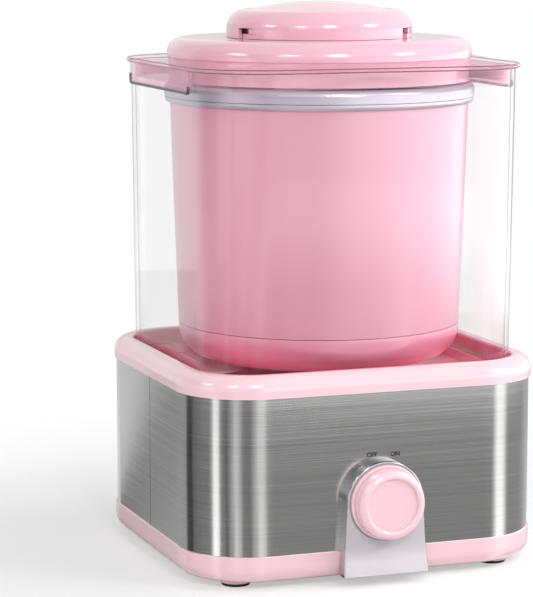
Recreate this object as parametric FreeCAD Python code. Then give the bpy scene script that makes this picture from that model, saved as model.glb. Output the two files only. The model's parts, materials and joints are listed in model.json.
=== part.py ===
import FreeCAD, Part
import math
import os

# Ice cream maker: a motor in the base turns a double-walled cold canister round a paddle that the lid holds.
# Millimetres, +Z up, the front faces -Y. Pieces are built round the canister's axis, with the feet on Z = 0,
# and are moved at the end so that the origin is at the bottom centre of the whole object.

# Canister
RIM_RADIUS = 96.0
RIM_HEIGHT = 12.3
RIM_BAND = 8.1
RIM_ROUND = 3.6
SHELL_INSET = 3.6
SHELL_TAPER = 4.7
SHELL_HEIGHT = 136.5
SHELL_WALL = 2.5
BOTTOM_CAP_HEIGHT = 21.8
BOTTOM_CAP_ROUND = 20.0
SEAM_GROOVE = 0.35
BOWL_WALL = 1.5
BOWL_ROUND = 14.0
BOWL_TAPER = 4.0
GEL_THICKNESS = 12.0
GEL_BELOW = 14.0
GASKET_THICKNESS = 1.1
INNER_PLAY = 0.2

# Drive spindle
SHAFT_RADIUS = 5.0
COUPLING_RADIUS = 24.0
COUPLING_FLANGE = 4.5
COUPLING_HEAD = 11.0
COUPLING_HEX = 9.5
SOCKET_RADIUS = 17.0
HEX_PLAY = 0.3
RUNNING_PLAY = 0.05
SEAL_PLAY = 0.08
AXIAL_PLAY = 0.3

# Clear cover and the well it stands in
COVER_WALL = 2.4
COVER_PLAY = 1.5
CANISTER_PLAY = 1.3
RIM_PLAY = 2.4
COVER_TOP_STRETCH = 1.0
COVER_TOP_CORNER = 42.2
WELL_STRETCH = 8.5
WELL_CORNER = 32.9
WELL_LEDGE_DEPTH = 10.0
WELL_LEDGE_WIDTH = 5.5
WELL_STEP = 6.0
SEAL_BOSS_RISE = 4.0
SEAL_BOSS_RADIUS = 12.0
SEAL_RADIUS = 9.0
COUPLING_GAP = 1.5

# Base
TRIM_WIDTH = 11.1
TRIM_PROUD = 1.2
TRIM_HEIGHT = 13.1
TRIM_ROUND = 8.5
TRIM_ROOF = 4.0
WELL_EDGE_ROUND = 2.0
DECK_WALL = 2.5
STEEL_GAUGE = 0.8
STEEL_HEIGHT = 94.4
SEAM_Y = -4.5
SEAM_GAP = 0.6
SEAM_FLANGE = 8.0
RIVET_RADIUS = 1.6
TRAY_HEIGHT = 16.5
TRAY_PROUD = 1.0
TRAY_ROUND = 9.0
TRAY_WALL = 2.5
LIP_HEIGHT = 6.0
LIP_WALL = 2.2
LIP_PLAY = 0.2
FOOT_HEIGHT = 2.0
FOOT_BOSS_HEIGHT = 2.0
FOOT_RADIUS = 8.5
FOOT_BOSS_RADIUS = 9.5
FOOT_STEM_RADIUS = 3.5
FOOT_INSET_X = 29.0
FOOT_INSET_Y = 23.0
POST_RADIUS = 6.5
POST_INSET_X = 42.0
POST_INSET_Y = 12.0
POST_RISE = 19.0
SCREW_RADIUS = 2.0
SCREW_HEAD_RADIUS = 4.0
SCREW_HEAD_HEIGHT = 2.6
SCREW_DEPTH = 14.0
VENT_LENGTH = 46.0
VENT_WIDTH = 4.0
VENT_PITCH = 11.0
VENT_COUNT = 6

# Lid
LID_GAP = 1.3
LID_HEADROOM = 10.6
FLANGE_OVERHANG = 2.9
FLANGE_THICKNESS = 3.0
FLANGE_ROUND = 1.3
LID_RISE = 2.6
SKIRT_DEPTH = 9.4
SKIRT_WALL = 2.2
SKIRT_PLAY = 0.6
TAB_DEPTH = 13.0
TAB_PLAY = 0.5
TAB_ROUND = 3.0
DOME_INSET = 1.7
DOME_HEIGHT = 11.2
DOME_ROUND = 9.6
DOME_WALL = 2.5
DOME_STEP = 1.1
DOME_INNER_ROUND = 6.0
LID_HOLE_PLAY = 0.2
SNAP_HEIGHT = 1.4
SNAP_SWEEP = 12.0
NECK_HEIGHT = 7.6
NECK_STEP = 3.0
NECK_INSET = 3.6
SPIDER_HUB_RADIUS = 10.0
SPIDER_HUB_HEIGHT = 14.0
SPIDER_ARM_WIDTH = 5.0
SPIDER_ARM_HEIGHT = 4.0
SPIDER_ARMS = 3

# Ingredient cap
CAP_RADIUS = 57.5
CAP_SHOULDER = 17.0
CAP_ROUND = 12.0
CAP_CROWN_RADIUS = 41.5
CAP_CROWN = 4.9
CAP_WALL = 2.5
CAP_PLAY = 0.4
CAP_LIFT = 0.2
SLOT_WIDTH_ANGLE = 7.0
SLOT_LENGTH_ANGLE = 15.0
SLOT_TOP = 6.4
SLOT_BAR = 2.6
LUG_ANGLE = 4.4
LUG_PLAY = 0.4
LUG_PLAY_ANGLE = 0.4
SLOT_COUNT = 3
SLOT_FIRST_ANGLE = -49.5

# Paddle
PADDLE_PLAY = 2.5
PADDLE_POST_RADIUS = 7.0
PADDLE_HEX = 5.0
PADDLE_HEX_PLAY = 0.2
PADDLE_HEIGHT = 104.0
PADDLE_BLADE = 3.0
PADDLE_BLADE_WIDTH = 14.0
PADDLE_BAR = 6.0
PADDLE_RING_RADIUS = 38.0

# Control plate, knob and switch
KNOB_RISE = 29.6
PLATE_PROUD = 8.0
PLATE_RIM = 1.1
PLATE_SPREAD = 2.7
PLATE_FLARE = 2.6
PLATE_FLARE_HEIGHT = 20.0
PLATE_DROP = 14.0
PLATE_WALL = 1.6
PLATE_BEVEL = 0.9
PLATE_BOSS_RADIUS = 3.6
PLATE_BOSS_X = 15.0
PLATE_BOSS_DROP = 20.0
SMALL_SCREW_RADIUS = 1.4
SMALL_HEAD_RADIUS = 3.0
SMALL_HEAD_HEIGHT = 2.0
KNOB_RADIUS = 22.4
KNOB_RECESS = 0.7
KNOB_RECESS_PLAY = 0.9
KNOB_BODY_RADIUS = 20.7
KNOB_NECK = 0.7
KNOB_NECK_HEIGHT = 1.2
KNOB_FLANGE = 2.6
KNOB_DEPTH = 12.5
KNOB_ROUND = 3.2
KNOB_DISH_RADIUS = 15.5
KNOB_DISH = 1.5
KNOB_WALL = 2.4
KNOB_HUB_RADIUS = 6.5
KNOB_GAP = 0.4
KNOB_SHAFT_RADIUS = 3.0
BUSH_RADIUS = 5.0
BUSH_LENGTH = 5.6
BUSH_PLAY = 0.2
NUT_HEX = 7.0
NUT_THICKNESS = 3.0
SWITCH_WIDTH = 30.0
SWITCH_HEIGHT = 28.0
SWITCH_DEPTH = 19.0
SWITCH_WALL = 4.0

# Gear train: output gear on the spindle, a double idler and the motor's pinion
OUTPUT_TEETH = 45
IDLER_SMALL_TEETH = 12
IDLER_LARGE_TEETH = 48
PINION_TEETH = 12
OUTPUT_MODULE = 1.25
INPUT_MODULE = 1.0
PRESSURE_ANGLE = 25.0
TOOTH_TOP = 0.8
TOOTH_ROOT = 1.05
BACKLASH = 0.12
FLANK_POINTS = 5
IDLER_ANGLE = 135.0
MOTOR_ANGLE = 45.0
OUTPUT_FACE = 8.0
IDLER_LARGE_FACE = 6.0
PINION_FACE = 7.5
IDLER_PIN_RADIUS = 3.0
GEAR_LIFT = 2.0
GEARBOX_DEPTH = 23.0
GEARBOX_FLOOR = 3.0
GEARBOX_LID = 3.0
GEARBOX_WALL = 2.5
GEARBOX_MARGIN = 3.4
GEARBOX_CORNER = 9.0
GEARBOX_DROP = 9.5
GEARBOX_COLUMN_RADIUS = 4.5
GEARBOX_SCREW_RADIUS = 1.6
GEARBOX_SCREW_GRIP = 6.0
HUB_RADIUS = 9.0
WASHER_THICKNESS = 0.8
SPINDLE_BUSH_RADIUS = 8.0
LOWER_BUSH_LENGTH = 8.0
UPPER_BUSH_LENGTH = 4.0
CIRCLIP_THICKNESS = 1.0
CIRCLIP_RADIUS = 7.8
CIRCLIP_GROOVE = 0.5
CIRCLIP_GAP_ANGLE = 50.0

# Motor
MOTOR_RADIUS = 29.0
MOTOR_HEIGHT = 34.0
MOTOR_WALL = 1.2
MOTOR_PLATE = 2.0
MOTOR_SHAFT_RADIUS = 2.0
ROTOR_RADIUS = 15.0
AIR_GAP = 0.8
COIL_MARGIN = 4.0
MOTOR_BUSH_RADIUS = 4.0
MOTOR_BUSH_LENGTH = 4.0
MOTOR_EAR_REACH = 36.0
MOTOR_EAR_RADIUS = 5.0
MOTOR_EAR_ANGLE = -10.0
MOTOR_SCREW_GRIP = 4.0

# Rear cord gland and inside leads
GLAND_X = -40.0
GLAND_RISE = 18.0
GLAND_RADIUS = 7.0
GLAND_FLANGE_RADIUS = 10.5
GLAND_FLANGE = 2.6
GLAND_MOUTH = 1.0
GLAND_TAIL = 9.0
LEAD_RADIUS = 1.7
LEAD_BEND = 9.0
LEAD_ABOVE_FLOOR = 6.0

# Heights from the feet up
TRAY_BOTTOM = FOOT_HEIGHT + FOOT_BOSS_HEIGHT
TRAY_FLOOR = TRAY_BOTTOM + TRAY_WALL
STEEL_BOTTOM = TRAY_BOTTOM + TRAY_HEIGHT
STEEL_TOP = STEEL_BOTTOM + STEEL_HEIGHT
TRIM_TOP = STEEL_TOP + TRIM_HEIGHT
WELL_LEDGE = TRIM_TOP - WELL_LEDGE_DEPTH
WELL_FLOOR = WELL_LEDGE - WELL_STEP
DECK_UNDERSIDE = WELL_FLOOR - DECK_WALL
SEAL_BOSS_TOP = WELL_FLOOR + SEAL_BOSS_RISE
COUPLING_BOTTOM = SEAL_BOSS_TOP + COUPLING_GAP
CANISTER_BOTTOM = COUPLING_BOTTOM + COUPLING_FLANGE
SEAM_HEIGHT = CANISTER_BOTTOM + BOTTOM_CAP_HEIGHT
SHELL_BAND = SEAM_HEIGHT + SHELL_HEIGHT
RIM_TOP = SHELL_BAND + RIM_HEIGHT
SHELL_TOP = RIM_TOP - BOWL_WALL - GASKET_THICKNESS
SOCKET_TOP = CANISTER_BOTTOM + COUPLING_HEAD + AXIAL_PLAY
SOCKET_ROOF = SOCKET_TOP + SHELL_WALL
BOWL_FLOOR = CANISTER_BOTTOM + SHELL_WALL + GEL_BELOW + BOWL_WALL
BAND_BOTTOM = RIM_TOP + LID_GAP
COVER_TOP = RIM_TOP + LID_HEADROOM
FLANGE_TOP = COVER_TOP + FLANGE_THICKNESS
DOME_SEAT = FLANGE_TOP + LID_RISE
DOME_TOP = DOME_SEAT + DOME_HEIGHT
CAP_BOTTOM = DOME_TOP + CAP_LIFT
CAP_LEDGE = CAP_BOTTOM + CAP_SHOULDER
CAP_TOP = CAP_LEDGE + CAP_CROWN
POST_SPLIT = TRAY_FLOOR + POST_RISE
KNOB_HEIGHT = STEEL_BOTTOM + KNOB_RISE
GEARBOX_TOP = DECK_UNDERSIDE - GEARBOX_DROP
GEARBOX_RIM = GEARBOX_TOP - GEARBOX_LID
GEARBOX_FLOOR_TOP = GEARBOX_RIM - GEARBOX_DEPTH
GEARBOX_BOTTOM = GEARBOX_FLOOR_TOP - GEARBOX_FLOOR
MOTOR_TOP = GEARBOX_BOTTOM - MOTOR_PLATE
MOTOR_BOTTOM = MOTOR_TOP - MOTOR_HEIGHT
GLAND_HEIGHT = STEEL_BOTTOM + GLAND_RISE
LEAD_HEIGHT = TRAY_FLOOR + LEAD_ABOVE_FLOOR

# Radii and half sizes in plan
SHELL_TOP_RADIUS = RIM_RADIUS - SHELL_INSET
SEAM_RADIUS = SHELL_TOP_RADIUS - SHELL_TAPER
WELL_HALF_Y = SEAM_RADIUS + CANISTER_PLAY + COVER_WALL + COVER_PLAY
WELL_HALF_X = WELL_HALF_Y + WELL_STRETCH
BASE_HALF_X = WELL_HALF_X + TRIM_WIDTH
BASE_HALF_Y = WELL_HALF_Y + TRIM_WIDTH
BASE_CORNER = WELL_CORNER + TRIM_WIDTH
COVER_HALF_X = WELL_HALF_X - COVER_PLAY
COVER_HALF_Y = WELL_HALF_Y - COVER_PLAY
COVER_CORNER = WELL_CORNER - COVER_PLAY
COVER_TOP_HALF_Y = RIM_RADIUS + RIM_PLAY + COVER_WALL
COVER_TOP_HALF_X = COVER_TOP_HALF_Y + COVER_TOP_STRETCH
DOME_RADIUS = RIM_RADIUS - DOME_INSET
BAND_RADIUS = DOME_RADIUS - DOME_STEP
LID_HOLE_RADIUS = BAND_RADIUS + LID_HOLE_PLAY
NECK_RADIUS = CAP_RADIUS - CAP_WALL - CAP_PLAY
NECK_TOP_RADIUS = NECK_RADIUS - NECK_INSET
NECK_BORE = NECK_TOP_RADIUS - DOME_WALL
BOWL_TOP_RADIUS = SHELL_TOP_RADIUS - SHELL_WALL - GEL_THICKNESS - BOWL_WALL
BOWL_LOW_RADIUS = BOWL_TOP_RADIUS - BOWL_TAPER
PLATE_RADIUS = KNOB_RADIUS + KNOB_RECESS_PLAY + PLATE_RIM
PLATE_FRONT = BASE_HALF_Y + PLATE_PROUD
KNOB_FRONT = PLATE_FRONT + KNOB_GAP + KNOB_DEPTH
PLATE_BOTTOM = STEEL_BOTTOM - PLATE_DROP

# Gear centres, with the spindle on the canister's axis
OUTPUT_DISTANCE = OUTPUT_MODULE * (OUTPUT_TEETH + IDLER_SMALL_TEETH) / 2
INPUT_DISTANCE = INPUT_MODULE * (IDLER_LARGE_TEETH + PINION_TEETH) / 2
IDLER_X = OUTPUT_DISTANCE * math.cos(math.radians(IDLER_ANGLE))
IDLER_Y = OUTPUT_DISTANCE * math.sin(math.radians(IDLER_ANGLE))
MOTOR_X = IDLER_X + INPUT_DISTANCE * math.cos(math.radians(MOTOR_ANGLE))
MOTOR_Y = IDLER_Y + INPUT_DISTANCE * math.sin(math.radians(MOTOR_ANGLE))

# The whole object's centre in depth lies halfway between the knob's face and the rearmost edge
REAR_REACH = BASE_HALF_Y + max(TRIM_PROUD, TRAY_PROUD, GLAND_FLANGE)
DEPTH_SHIFT = (KNOB_FRONT - REAR_REACH) / 2

UP = FreeCAD.Vector(0, 0, 1)
CENTRE = FreeCAD.Vector(0, 0, 0)
PASS = 1.0


# Shape helpers

def point(x, y, z):
    return FreeCAD.Vector(x, y, z)


def rounded_wire(half_x, half_y, corner, height):
    """Closed outline of a rounded rectangle: four sides and four corner arcs."""
    edges = []
    flat_x = half_x - corner
    flat_y = half_y - corner
    signs = [(1, 1), (-1, 1), (-1, -1), (1, -1)]
    for turn, (side_x, side_y) in enumerate(signs):
        start = math.radians(90 * turn)
        middle = point(side_x * flat_x, side_y * flat_y, height)
        stops = []
        for part_turn in (0.0, 0.25, 0.5):
            angle = start + math.pi * part_turn
            stops.append(middle + point(math.cos(angle), math.sin(angle), 0) * corner)
        edges.append(Part.Arc(*stops).toShape())
        next_x, next_y = signs[(turn + 1) % 4]
        after = start + math.pi / 2
        follow = point(next_x * flat_x, next_y * flat_y, height)
        follow = follow + point(math.cos(after), math.sin(after), 0) * corner
        edges.append(Part.LineSegment(stops[2], follow).toShape())
    return Part.Wire(edges)


def matched_circle(radius, flat_x, flat_y, corner, height):
    """Circle split into eight arcs that answer the arcs and sides of a rounded rectangle."""
    edges = []
    lean = math.atan2(flat_y, flat_x + corner)
    rise = math.atan2(flat_y + corner, flat_x)
    stops = []
    for turn in range(2):
        base = math.pi * turn
        stops += [base + lean, base + rise, base + math.pi - rise, base + math.pi - lean]
    stops.append(stops[0] + 2 * math.pi)
    for begin, end in zip(stops, stops[1:]):
        places = [begin, (begin + end) / 2, end]
        corners = [point(radius * math.cos(a), radius * math.sin(a), height) for a in places]
        edges.append(Part.Arc(*corners).toShape())
    return Part.Wire(edges)


def prism(half_x, half_y, corner, low, high):
    face = Part.Face(rounded_wire(half_x, half_y, corner, low))
    return face.extrude(UP * (high - low))


def loft(lower, upper):
    return Part.makeLoft([lower, upper], True, True)


def disc(radius, low, high, x=0.0, y=0.0):
    return Part.makeCylinder(radius, high - low, point(x, y, low))


def ring(outer, inner, low, high, x=0.0, y=0.0):
    return disc(outer, low, high, x, y).cut(disc(inner, low - PASS, high + PASS, x, y))


def hexagon(half_flats, low, high, x=0.0, y=0.0):
    reach = half_flats / math.cos(math.pi / 6)
    corners = []
    for side in range(7):
        angle = math.pi / 3 * side
        corners.append(point(x + reach * math.cos(angle), y + reach * math.sin(angle), low))
    return Part.Face(Part.makePolygon(corners)).extrude(UP * (high - low))


def box(x0, x1, y0, y1, z0, z1):
    return Part.makeBox(x1 - x0, y1 - y0, z1 - z0, point(x0, y0, z0))


def turned(profile):
    """Solid of revolution from (radius, height) steps; a step with a centre is reached by an arc."""
    edges = []
    last = point(profile[0][0], 0, profile[0][1])
    for step in profile[1:] + [profile[0][:2]]:
        end = point(step[0], 0, step[1])
        if len(step) == 4:
            centre = point(step[2], 0, step[3])
            lean = ((last + end) * 0.5 - centre).normalize()
            middle = centre + lean * (end - centre).Length
            edges.append(Part.Arc(last, middle, end).toShape())
        else:
            edges.append(Part.LineSegment(last, end).toShape())
        last = end
    return Part.Face(Part.Wire(edges)).revolve(CENTRE, UP, 360)


def sector(inner, outer, low, high, start, sweep):
    """Block between two radii and two heights that spans an angle about the axis."""
    corners = [point(inner, 0, low), point(outer, 0, low), point(outer, 0, high), point(inner, 0, high)]
    face = Part.Face(Part.makePolygon(corners + corners[:1]))
    block = face.revolve(CENTRE, UP, sweep)
    block.rotate(CENTRE, UP, start)
    return block


def fuse(shapes):
    return shapes[0].multiFuse(shapes[1:]).removeSplitter()


def carve(shape, tools):
    return shape.cut(tools)


def group(shapes):
    return Part.makeCompound(shapes)


def round_level(shape, height, radius, within=None):
    """Round the edges that lie at one height, all of them or those inside a half width."""
    chosen = []
    for edge in shape.Edges:
        span = edge.BoundBox
        level = abs(span.ZMin - height) < 1e-4 and abs(span.ZMax - height) < 1e-4
        if level and (within is None or max(abs(span.XMin), abs(span.XMax)) < within):
            chosen.append(edge)
    return shape.makeFillet(radius, chosen)


def face_front(shape, x, depth, height):
    """Turn a piece built along +Z so that it points to the front, and set it on its place."""
    shape.rotate(CENTRE, point(1, 0, 0), 90)
    shape.translate(point(x, -depth, height))
    return shape


def face_rear(shape, x, depth, height):
    shape.rotate(CENTRE, point(1, 0, 0), -90)
    shape.translate(point(x, depth, height))
    return shape


def four_corners(x, y):
    return [(x, y), (-x, y), (-x, -y), (x, -y)]


def gear(teeth, module, low, high, phase):
    """Involute gear with a tooth centred on the phase angle, in degrees."""
    pitch = module * teeth / 2
    base = pitch * math.cos(math.radians(PRESSURE_ANGLE))
    tip = pitch + TOOTH_TOP * module
    root = pitch - TOOTH_ROOT * module
    slack = BACKLASH / 2 / pitch
    flank_turn = math.tan(math.radians(PRESSURE_ANGLE)) - math.radians(PRESSURE_ANGLE)
    half_tooth = math.pi / 2 / teeth - slack + flank_turn
    start = max(base, root)
    flank = [(root, half_tooth)]
    for step in range(FLANK_POINTS):
        radius = start + (tip - start) * step / (FLANK_POINTS - 1)
        swing = math.acos(min(1.0, base / radius))
        flank.append((radius, half_tooth - math.tan(swing) + swing))
    outline = []
    for tooth in range(teeth):
        middle = math.radians(phase) + 2 * math.pi * tooth / teeth
        near = [(radius, middle - half) for radius, half in flank]
        far = [(radius, middle + half) for radius, half in reversed(flank)]
        for radius, angle in near + far:
            outline.append(point(radius * math.cos(angle), radius * math.sin(angle), low))
    face = Part.Face(Part.makePolygon(outline + outline[:1]))
    return face.extrude(UP * (high - low))


def lead(places):
    """Round lead along straight runs joined by tangent arcs."""
    edges = []
    last = places[0]
    for before, corner, after in zip(places, places[1:], places[2:]):
        back = (before - corner).normalize()
        ahead = (after - corner).normalize()
        half_turn = (math.pi - back.getAngle(ahead)) / 2
        reach = LEAD_BEND * math.tan(half_turn)
        enter = corner + back * reach
        leave = corner + ahead * reach
        inward = (back + ahead).normalize()
        middle = corner + inward * (LEAD_BEND / math.cos(half_turn) - LEAD_BEND)
        edges.append(Part.LineSegment(last, enter).toShape())
        edges.append(Part.Arc(enter, middle, leave).toShape())
        last = leave
    edges.append(Part.LineSegment(last, places[-1]).toShape())
    path = Part.Wire(edges)
    start = places[0]
    section = Part.Wire(Part.makeCircle(LEAD_RADIUS, start, places[1] - start))
    return path.makePipeShell([section], True, False)


# Places used by more than one piece

FEET = four_corners(BASE_HALF_X - FOOT_INSET_X, BASE_HALF_Y - FOOT_INSET_Y)
POSTS = four_corners(WELL_HALF_X - POST_INSET_X, WELL_HALF_Y - POST_INSET_Y)
LIP_HALF_X = BASE_HALF_X - STEEL_GAUGE - LIP_PLAY
LIP_HALF_Y = BASE_HALF_Y - STEEL_GAUGE - LIP_PLAY
LIP_CORNER = BASE_CORNER - STEEL_GAUGE - LIP_PLAY
PLATE_BOSS_HEIGHT = KNOB_HEIGHT - PLATE_BOSS_DROP
PLATE_BOSSES = [(PLATE_BOSS_X, PLATE_BOSS_HEIGHT), (-PLATE_BOSS_X, PLATE_BOSS_HEIGHT)]
SCREW_SEAT = TRAY_BOTTOM + SCREW_HEAD_HEIGHT + TRAY_WALL

OUTPUT_TIP = OUTPUT_MODULE * (OUTPUT_TEETH / 2 + TOOTH_TOP)
IDLER_TIP = INPUT_MODULE * (IDLER_LARGE_TEETH / 2 + TOOTH_TOP)
PINION_TIP = INPUT_MODULE * (PINION_TEETH / 2 + TOOTH_TOP)
GEAR_DISCS = [(0, 0, OUTPUT_TIP), (IDLER_X, IDLER_Y, IDLER_TIP), (MOTOR_X, MOTOR_Y, PINION_TIP)]
GEARBOX_REACH = GEARBOX_MARGIN + GEARBOX_WALL + GEARBOX_COLUMN_RADIUS
GEARBOX_X0 = min(x - r for x, y, r in GEAR_DISCS) - GEARBOX_REACH
GEARBOX_X1 = max(x + r for x, y, r in GEAR_DISCS) + GEARBOX_REACH
GEARBOX_Y0 = min(y - r for x, y, r in GEAR_DISCS) - GEARBOX_REACH
GEARBOX_Y1 = max(y + r for x, y, r in GEAR_DISCS) + GEARBOX_REACH
GEARBOX_X = (GEARBOX_X0 + GEARBOX_X1) / 2
GEARBOX_Y = (GEARBOX_Y0 + GEARBOX_Y1) / 2
GEARBOX_HALF_X = (GEARBOX_X1 - GEARBOX_X0) / 2
GEARBOX_HALF_Y = (GEARBOX_Y1 - GEARBOX_Y0) / 2
COLUMN_INSET = GEARBOX_WALL + GEARBOX_COLUMN_RADIUS
COLUMNS = []
for column_x, column_y in four_corners(GEARBOX_HALF_X - COLUMN_INSET, GEARBOX_HALF_Y - COLUMN_INSET):
    COLUMNS.append((GEARBOX_X + column_x, GEARBOX_Y + column_y))

MOTOR_EARS = []
for ear_turn in (0, 180):
    ear_angle = math.radians(MOTOR_EAR_ANGLE + ear_turn)
    ear_x = MOTOR_X + MOTOR_EAR_REACH * math.cos(ear_angle)
    ear_y = MOTOR_Y + MOTOR_EAR_REACH * math.sin(ear_angle)
    MOTOR_EARS.append((ear_x, ear_y))

# Gear levels above the gearbox floor
LARGE_LOW = GEARBOX_FLOOR_TOP + GEAR_LIFT
LARGE_HIGH = LARGE_LOW + IDLER_LARGE_FACE
PINION_LOW = LARGE_LOW - AXIAL_PLAY
PINION_HIGH = PINION_LOW + PINION_FACE
OUTPUT_LOW = LARGE_HIGH + GEAR_LIFT
OUTPUT_HIGH = OUTPUT_LOW + OUTPUT_FACE
LOWER_BUSH_TOP = GEARBOX_BOTTOM + LOWER_BUSH_LENGTH
HUB_LOW = LOWER_BUSH_TOP + WASHER_THICKNESS
CIRCLIP_LOW = GEARBOX_TOP + AXIAL_PLAY


# Base

def base_tray():
    outer = prism(BASE_HALF_X + TRAY_PROUD, BASE_HALF_Y + TRAY_PROUD, BASE_CORNER + TRAY_PROUD,
                  TRAY_BOTTOM, STEEL_BOTTOM)
    outer = round_level(outer, TRAY_BOTTOM, TRAY_ROUND)
    lip_top = STEEL_BOTTOM + LIP_HEIGHT
    lip = prism(LIP_HALF_X, LIP_HALF_Y, LIP_CORNER, TRAY_FLOOR + TRAY_ROUND, lip_top)
    cavity = prism(LIP_HALF_X - LIP_WALL, LIP_HALF_Y - LIP_WALL, LIP_CORNER - LIP_WALL,
                   TRAY_FLOOR, lip_top + PASS)
    cavity = round_level(cavity, TRAY_FLOOR, TRAY_ROUND - TRAY_WALL)
    tray = fuse([outer, lip]).cut(cavity)
    extras = []
    holes = []
    for x, y in FEET:
        extras.append(disc(FOOT_BOSS_RADIUS, FOOT_HEIGHT, TRAY_FLOOR, x, y))
        holes.append(disc(FOOT_STEM_RADIUS, 0, TRAY_FLOOR + PASS, x, y))
    for x, y in POSTS:
        extras.append(disc(POST_RADIUS, TRAY_BOTTOM, POST_SPLIT, x, y))
        holes.append(disc(SCREW_RADIUS + LIP_PLAY, TRAY_BOTTOM - PASS, POST_SPLIT + PASS, x, y))
        holes.append(disc(SCREW_HEAD_RADIUS + LIP_PLAY, TRAY_BOTTOM - PASS, SCREW_SEAT, x, y))
    for vent in range(VENT_COUNT):
        x = (vent - (VENT_COUNT - 1) / 2) * VENT_PITCH
        half = VENT_LENGTH / 2
        slot = prism(VENT_WIDTH / 2, half, VENT_WIDTH / 2 - LIP_PLAY, TRAY_BOTTOM - PASS, TRAY_FLOOR + PASS)
        slot.translate(point(x, 0, 0))
        holes.append(slot)
    return carve(fuse([tray] + extras), holes)


def rubber_feet():
    feet = []
    for x, y in FEET:
        pad = round_level(disc(FOOT_RADIUS, 0, FOOT_HEIGHT, x, y), 0, FOOT_HEIGHT / 4)
        stem = disc(FOOT_STEM_RADIUS, FOOT_HEIGHT, TRAY_FLOOR, x, y)
        bulb = disc(FOOT_STEM_RADIUS + PASS, TRAY_FLOOR, TRAY_FLOOR + FOOT_HEIGHT, x, y)
        feet.append(fuse([pad, stem, bulb]))
    return group(feet)


def base_screws():
    screws = []
    for x, y in POSTS:
        head = disc(SCREW_HEAD_RADIUS, SCREW_SEAT - SCREW_HEAD_HEIGHT, SCREW_SEAT, x, y)
        shank = disc(SCREW_RADIUS, SCREW_SEAT, POST_SPLIT + SCREW_DEPTH, x, y)
        screws.append(fuse([head, shank]))
    return group(screws)


def steel_band():
    outer = prism(BASE_HALF_X, BASE_HALF_Y, BASE_CORNER, STEEL_BOTTOM, STEEL_TOP)
    inner = prism(BASE_HALF_X - STEEL_GAUGE, BASE_HALF_Y - STEEL_GAUGE, BASE_CORNER - STEEL_GAUGE,
                  STEEL_BOTTOM - PASS, STEEL_TOP + PASS)
    return outer.cut(inner)


def seam_flanges(near_y, far_y):
    """Return flanges bent inwards at both sides of one wrap."""
    low = STEEL_BOTTOM + LIP_HEIGHT + PASS
    high = STEEL_TOP - LIP_HEIGHT - PASS
    outside = BASE_HALF_X - STEEL_GAUGE / 2
    inside = BASE_HALF_X - SEAM_FLANGE
    right = box(inside, outside, near_y, far_y, low, high)
    left = box(-outside, -inside, near_y, far_y, low, high)
    return [right, left]


def steel_front_wrap():
    edge = SEAM_Y - SEAM_GAP / 2
    reach = BASE_HALF_X + BASE_HALF_Y
    front = steel_band().cut(box(-reach, reach, edge, reach, 0, STEEL_TOP + PASS))
    sheet = fuse([front] + seam_flanges(edge - STEEL_GAUGE, edge))
    mid_sheet = BASE_HALF_Y - STEEL_GAUGE / 2
    holes = [face_front(disc(BUSH_RADIUS + BUSH_PLAY, -PASS, PASS), 0, mid_sheet, KNOB_HEIGHT)]
    for x, z in PLATE_BOSSES:
        hole = disc(SMALL_SCREW_RADIUS + BUSH_PLAY, -PASS, PASS)
        holes.append(face_front(hole, x, mid_sheet, z))
    return carve(sheet, holes + rivet_shanks())


def steel_rear_wrap():
    edge = SEAM_Y + SEAM_GAP / 2
    reach = BASE_HALF_X + BASE_HALF_Y
    rear = steel_band().cut(box(-reach, reach, -reach, edge, 0, STEEL_TOP + PASS))
    sheet = fuse([rear] + seam_flanges(edge, edge + STEEL_GAUGE))
    hole = face_rear(disc(GLAND_RADIUS, -PASS, PASS), GLAND_X, BASE_HALF_Y - STEEL_GAUGE / 2, GLAND_HEIGHT)
    return carve(sheet, [hole] + rivet_shanks())


def rivet_places():
    x = BASE_HALF_X - SEAM_FLANGE / 2 - STEEL_GAUGE / 2
    low = STEEL_BOTTOM + STEEL_HEIGHT / 4
    high = STEEL_TOP - STEEL_HEIGHT / 4
    return [(x, low), (x, high), (-x, low), (-x, high)]


def rivet_shanks():
    half = SEAM_GAP / 2 + STEEL_GAUGE
    return [face_front(disc(RIVET_RADIUS, -half, half), x, -SEAM_Y, z) for x, z in rivet_places()]


def seam_rivets():
    half = SEAM_GAP / 2 + STEEL_GAUGE
    head = RIVET_RADIUS * 2
    rivets = []
    for x, z in rivet_places():
        shank = disc(RIVET_RADIUS, -half, half)
        front = disc(head, half, half + RIVET_RADIUS / 2)
        rear = disc(head, -half - RIVET_RADIUS / 2, -half)
        rivets.append(face_front(fuse([shank, front, rear]), x, -SEAM_Y, z))
    return group(rivets)


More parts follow.
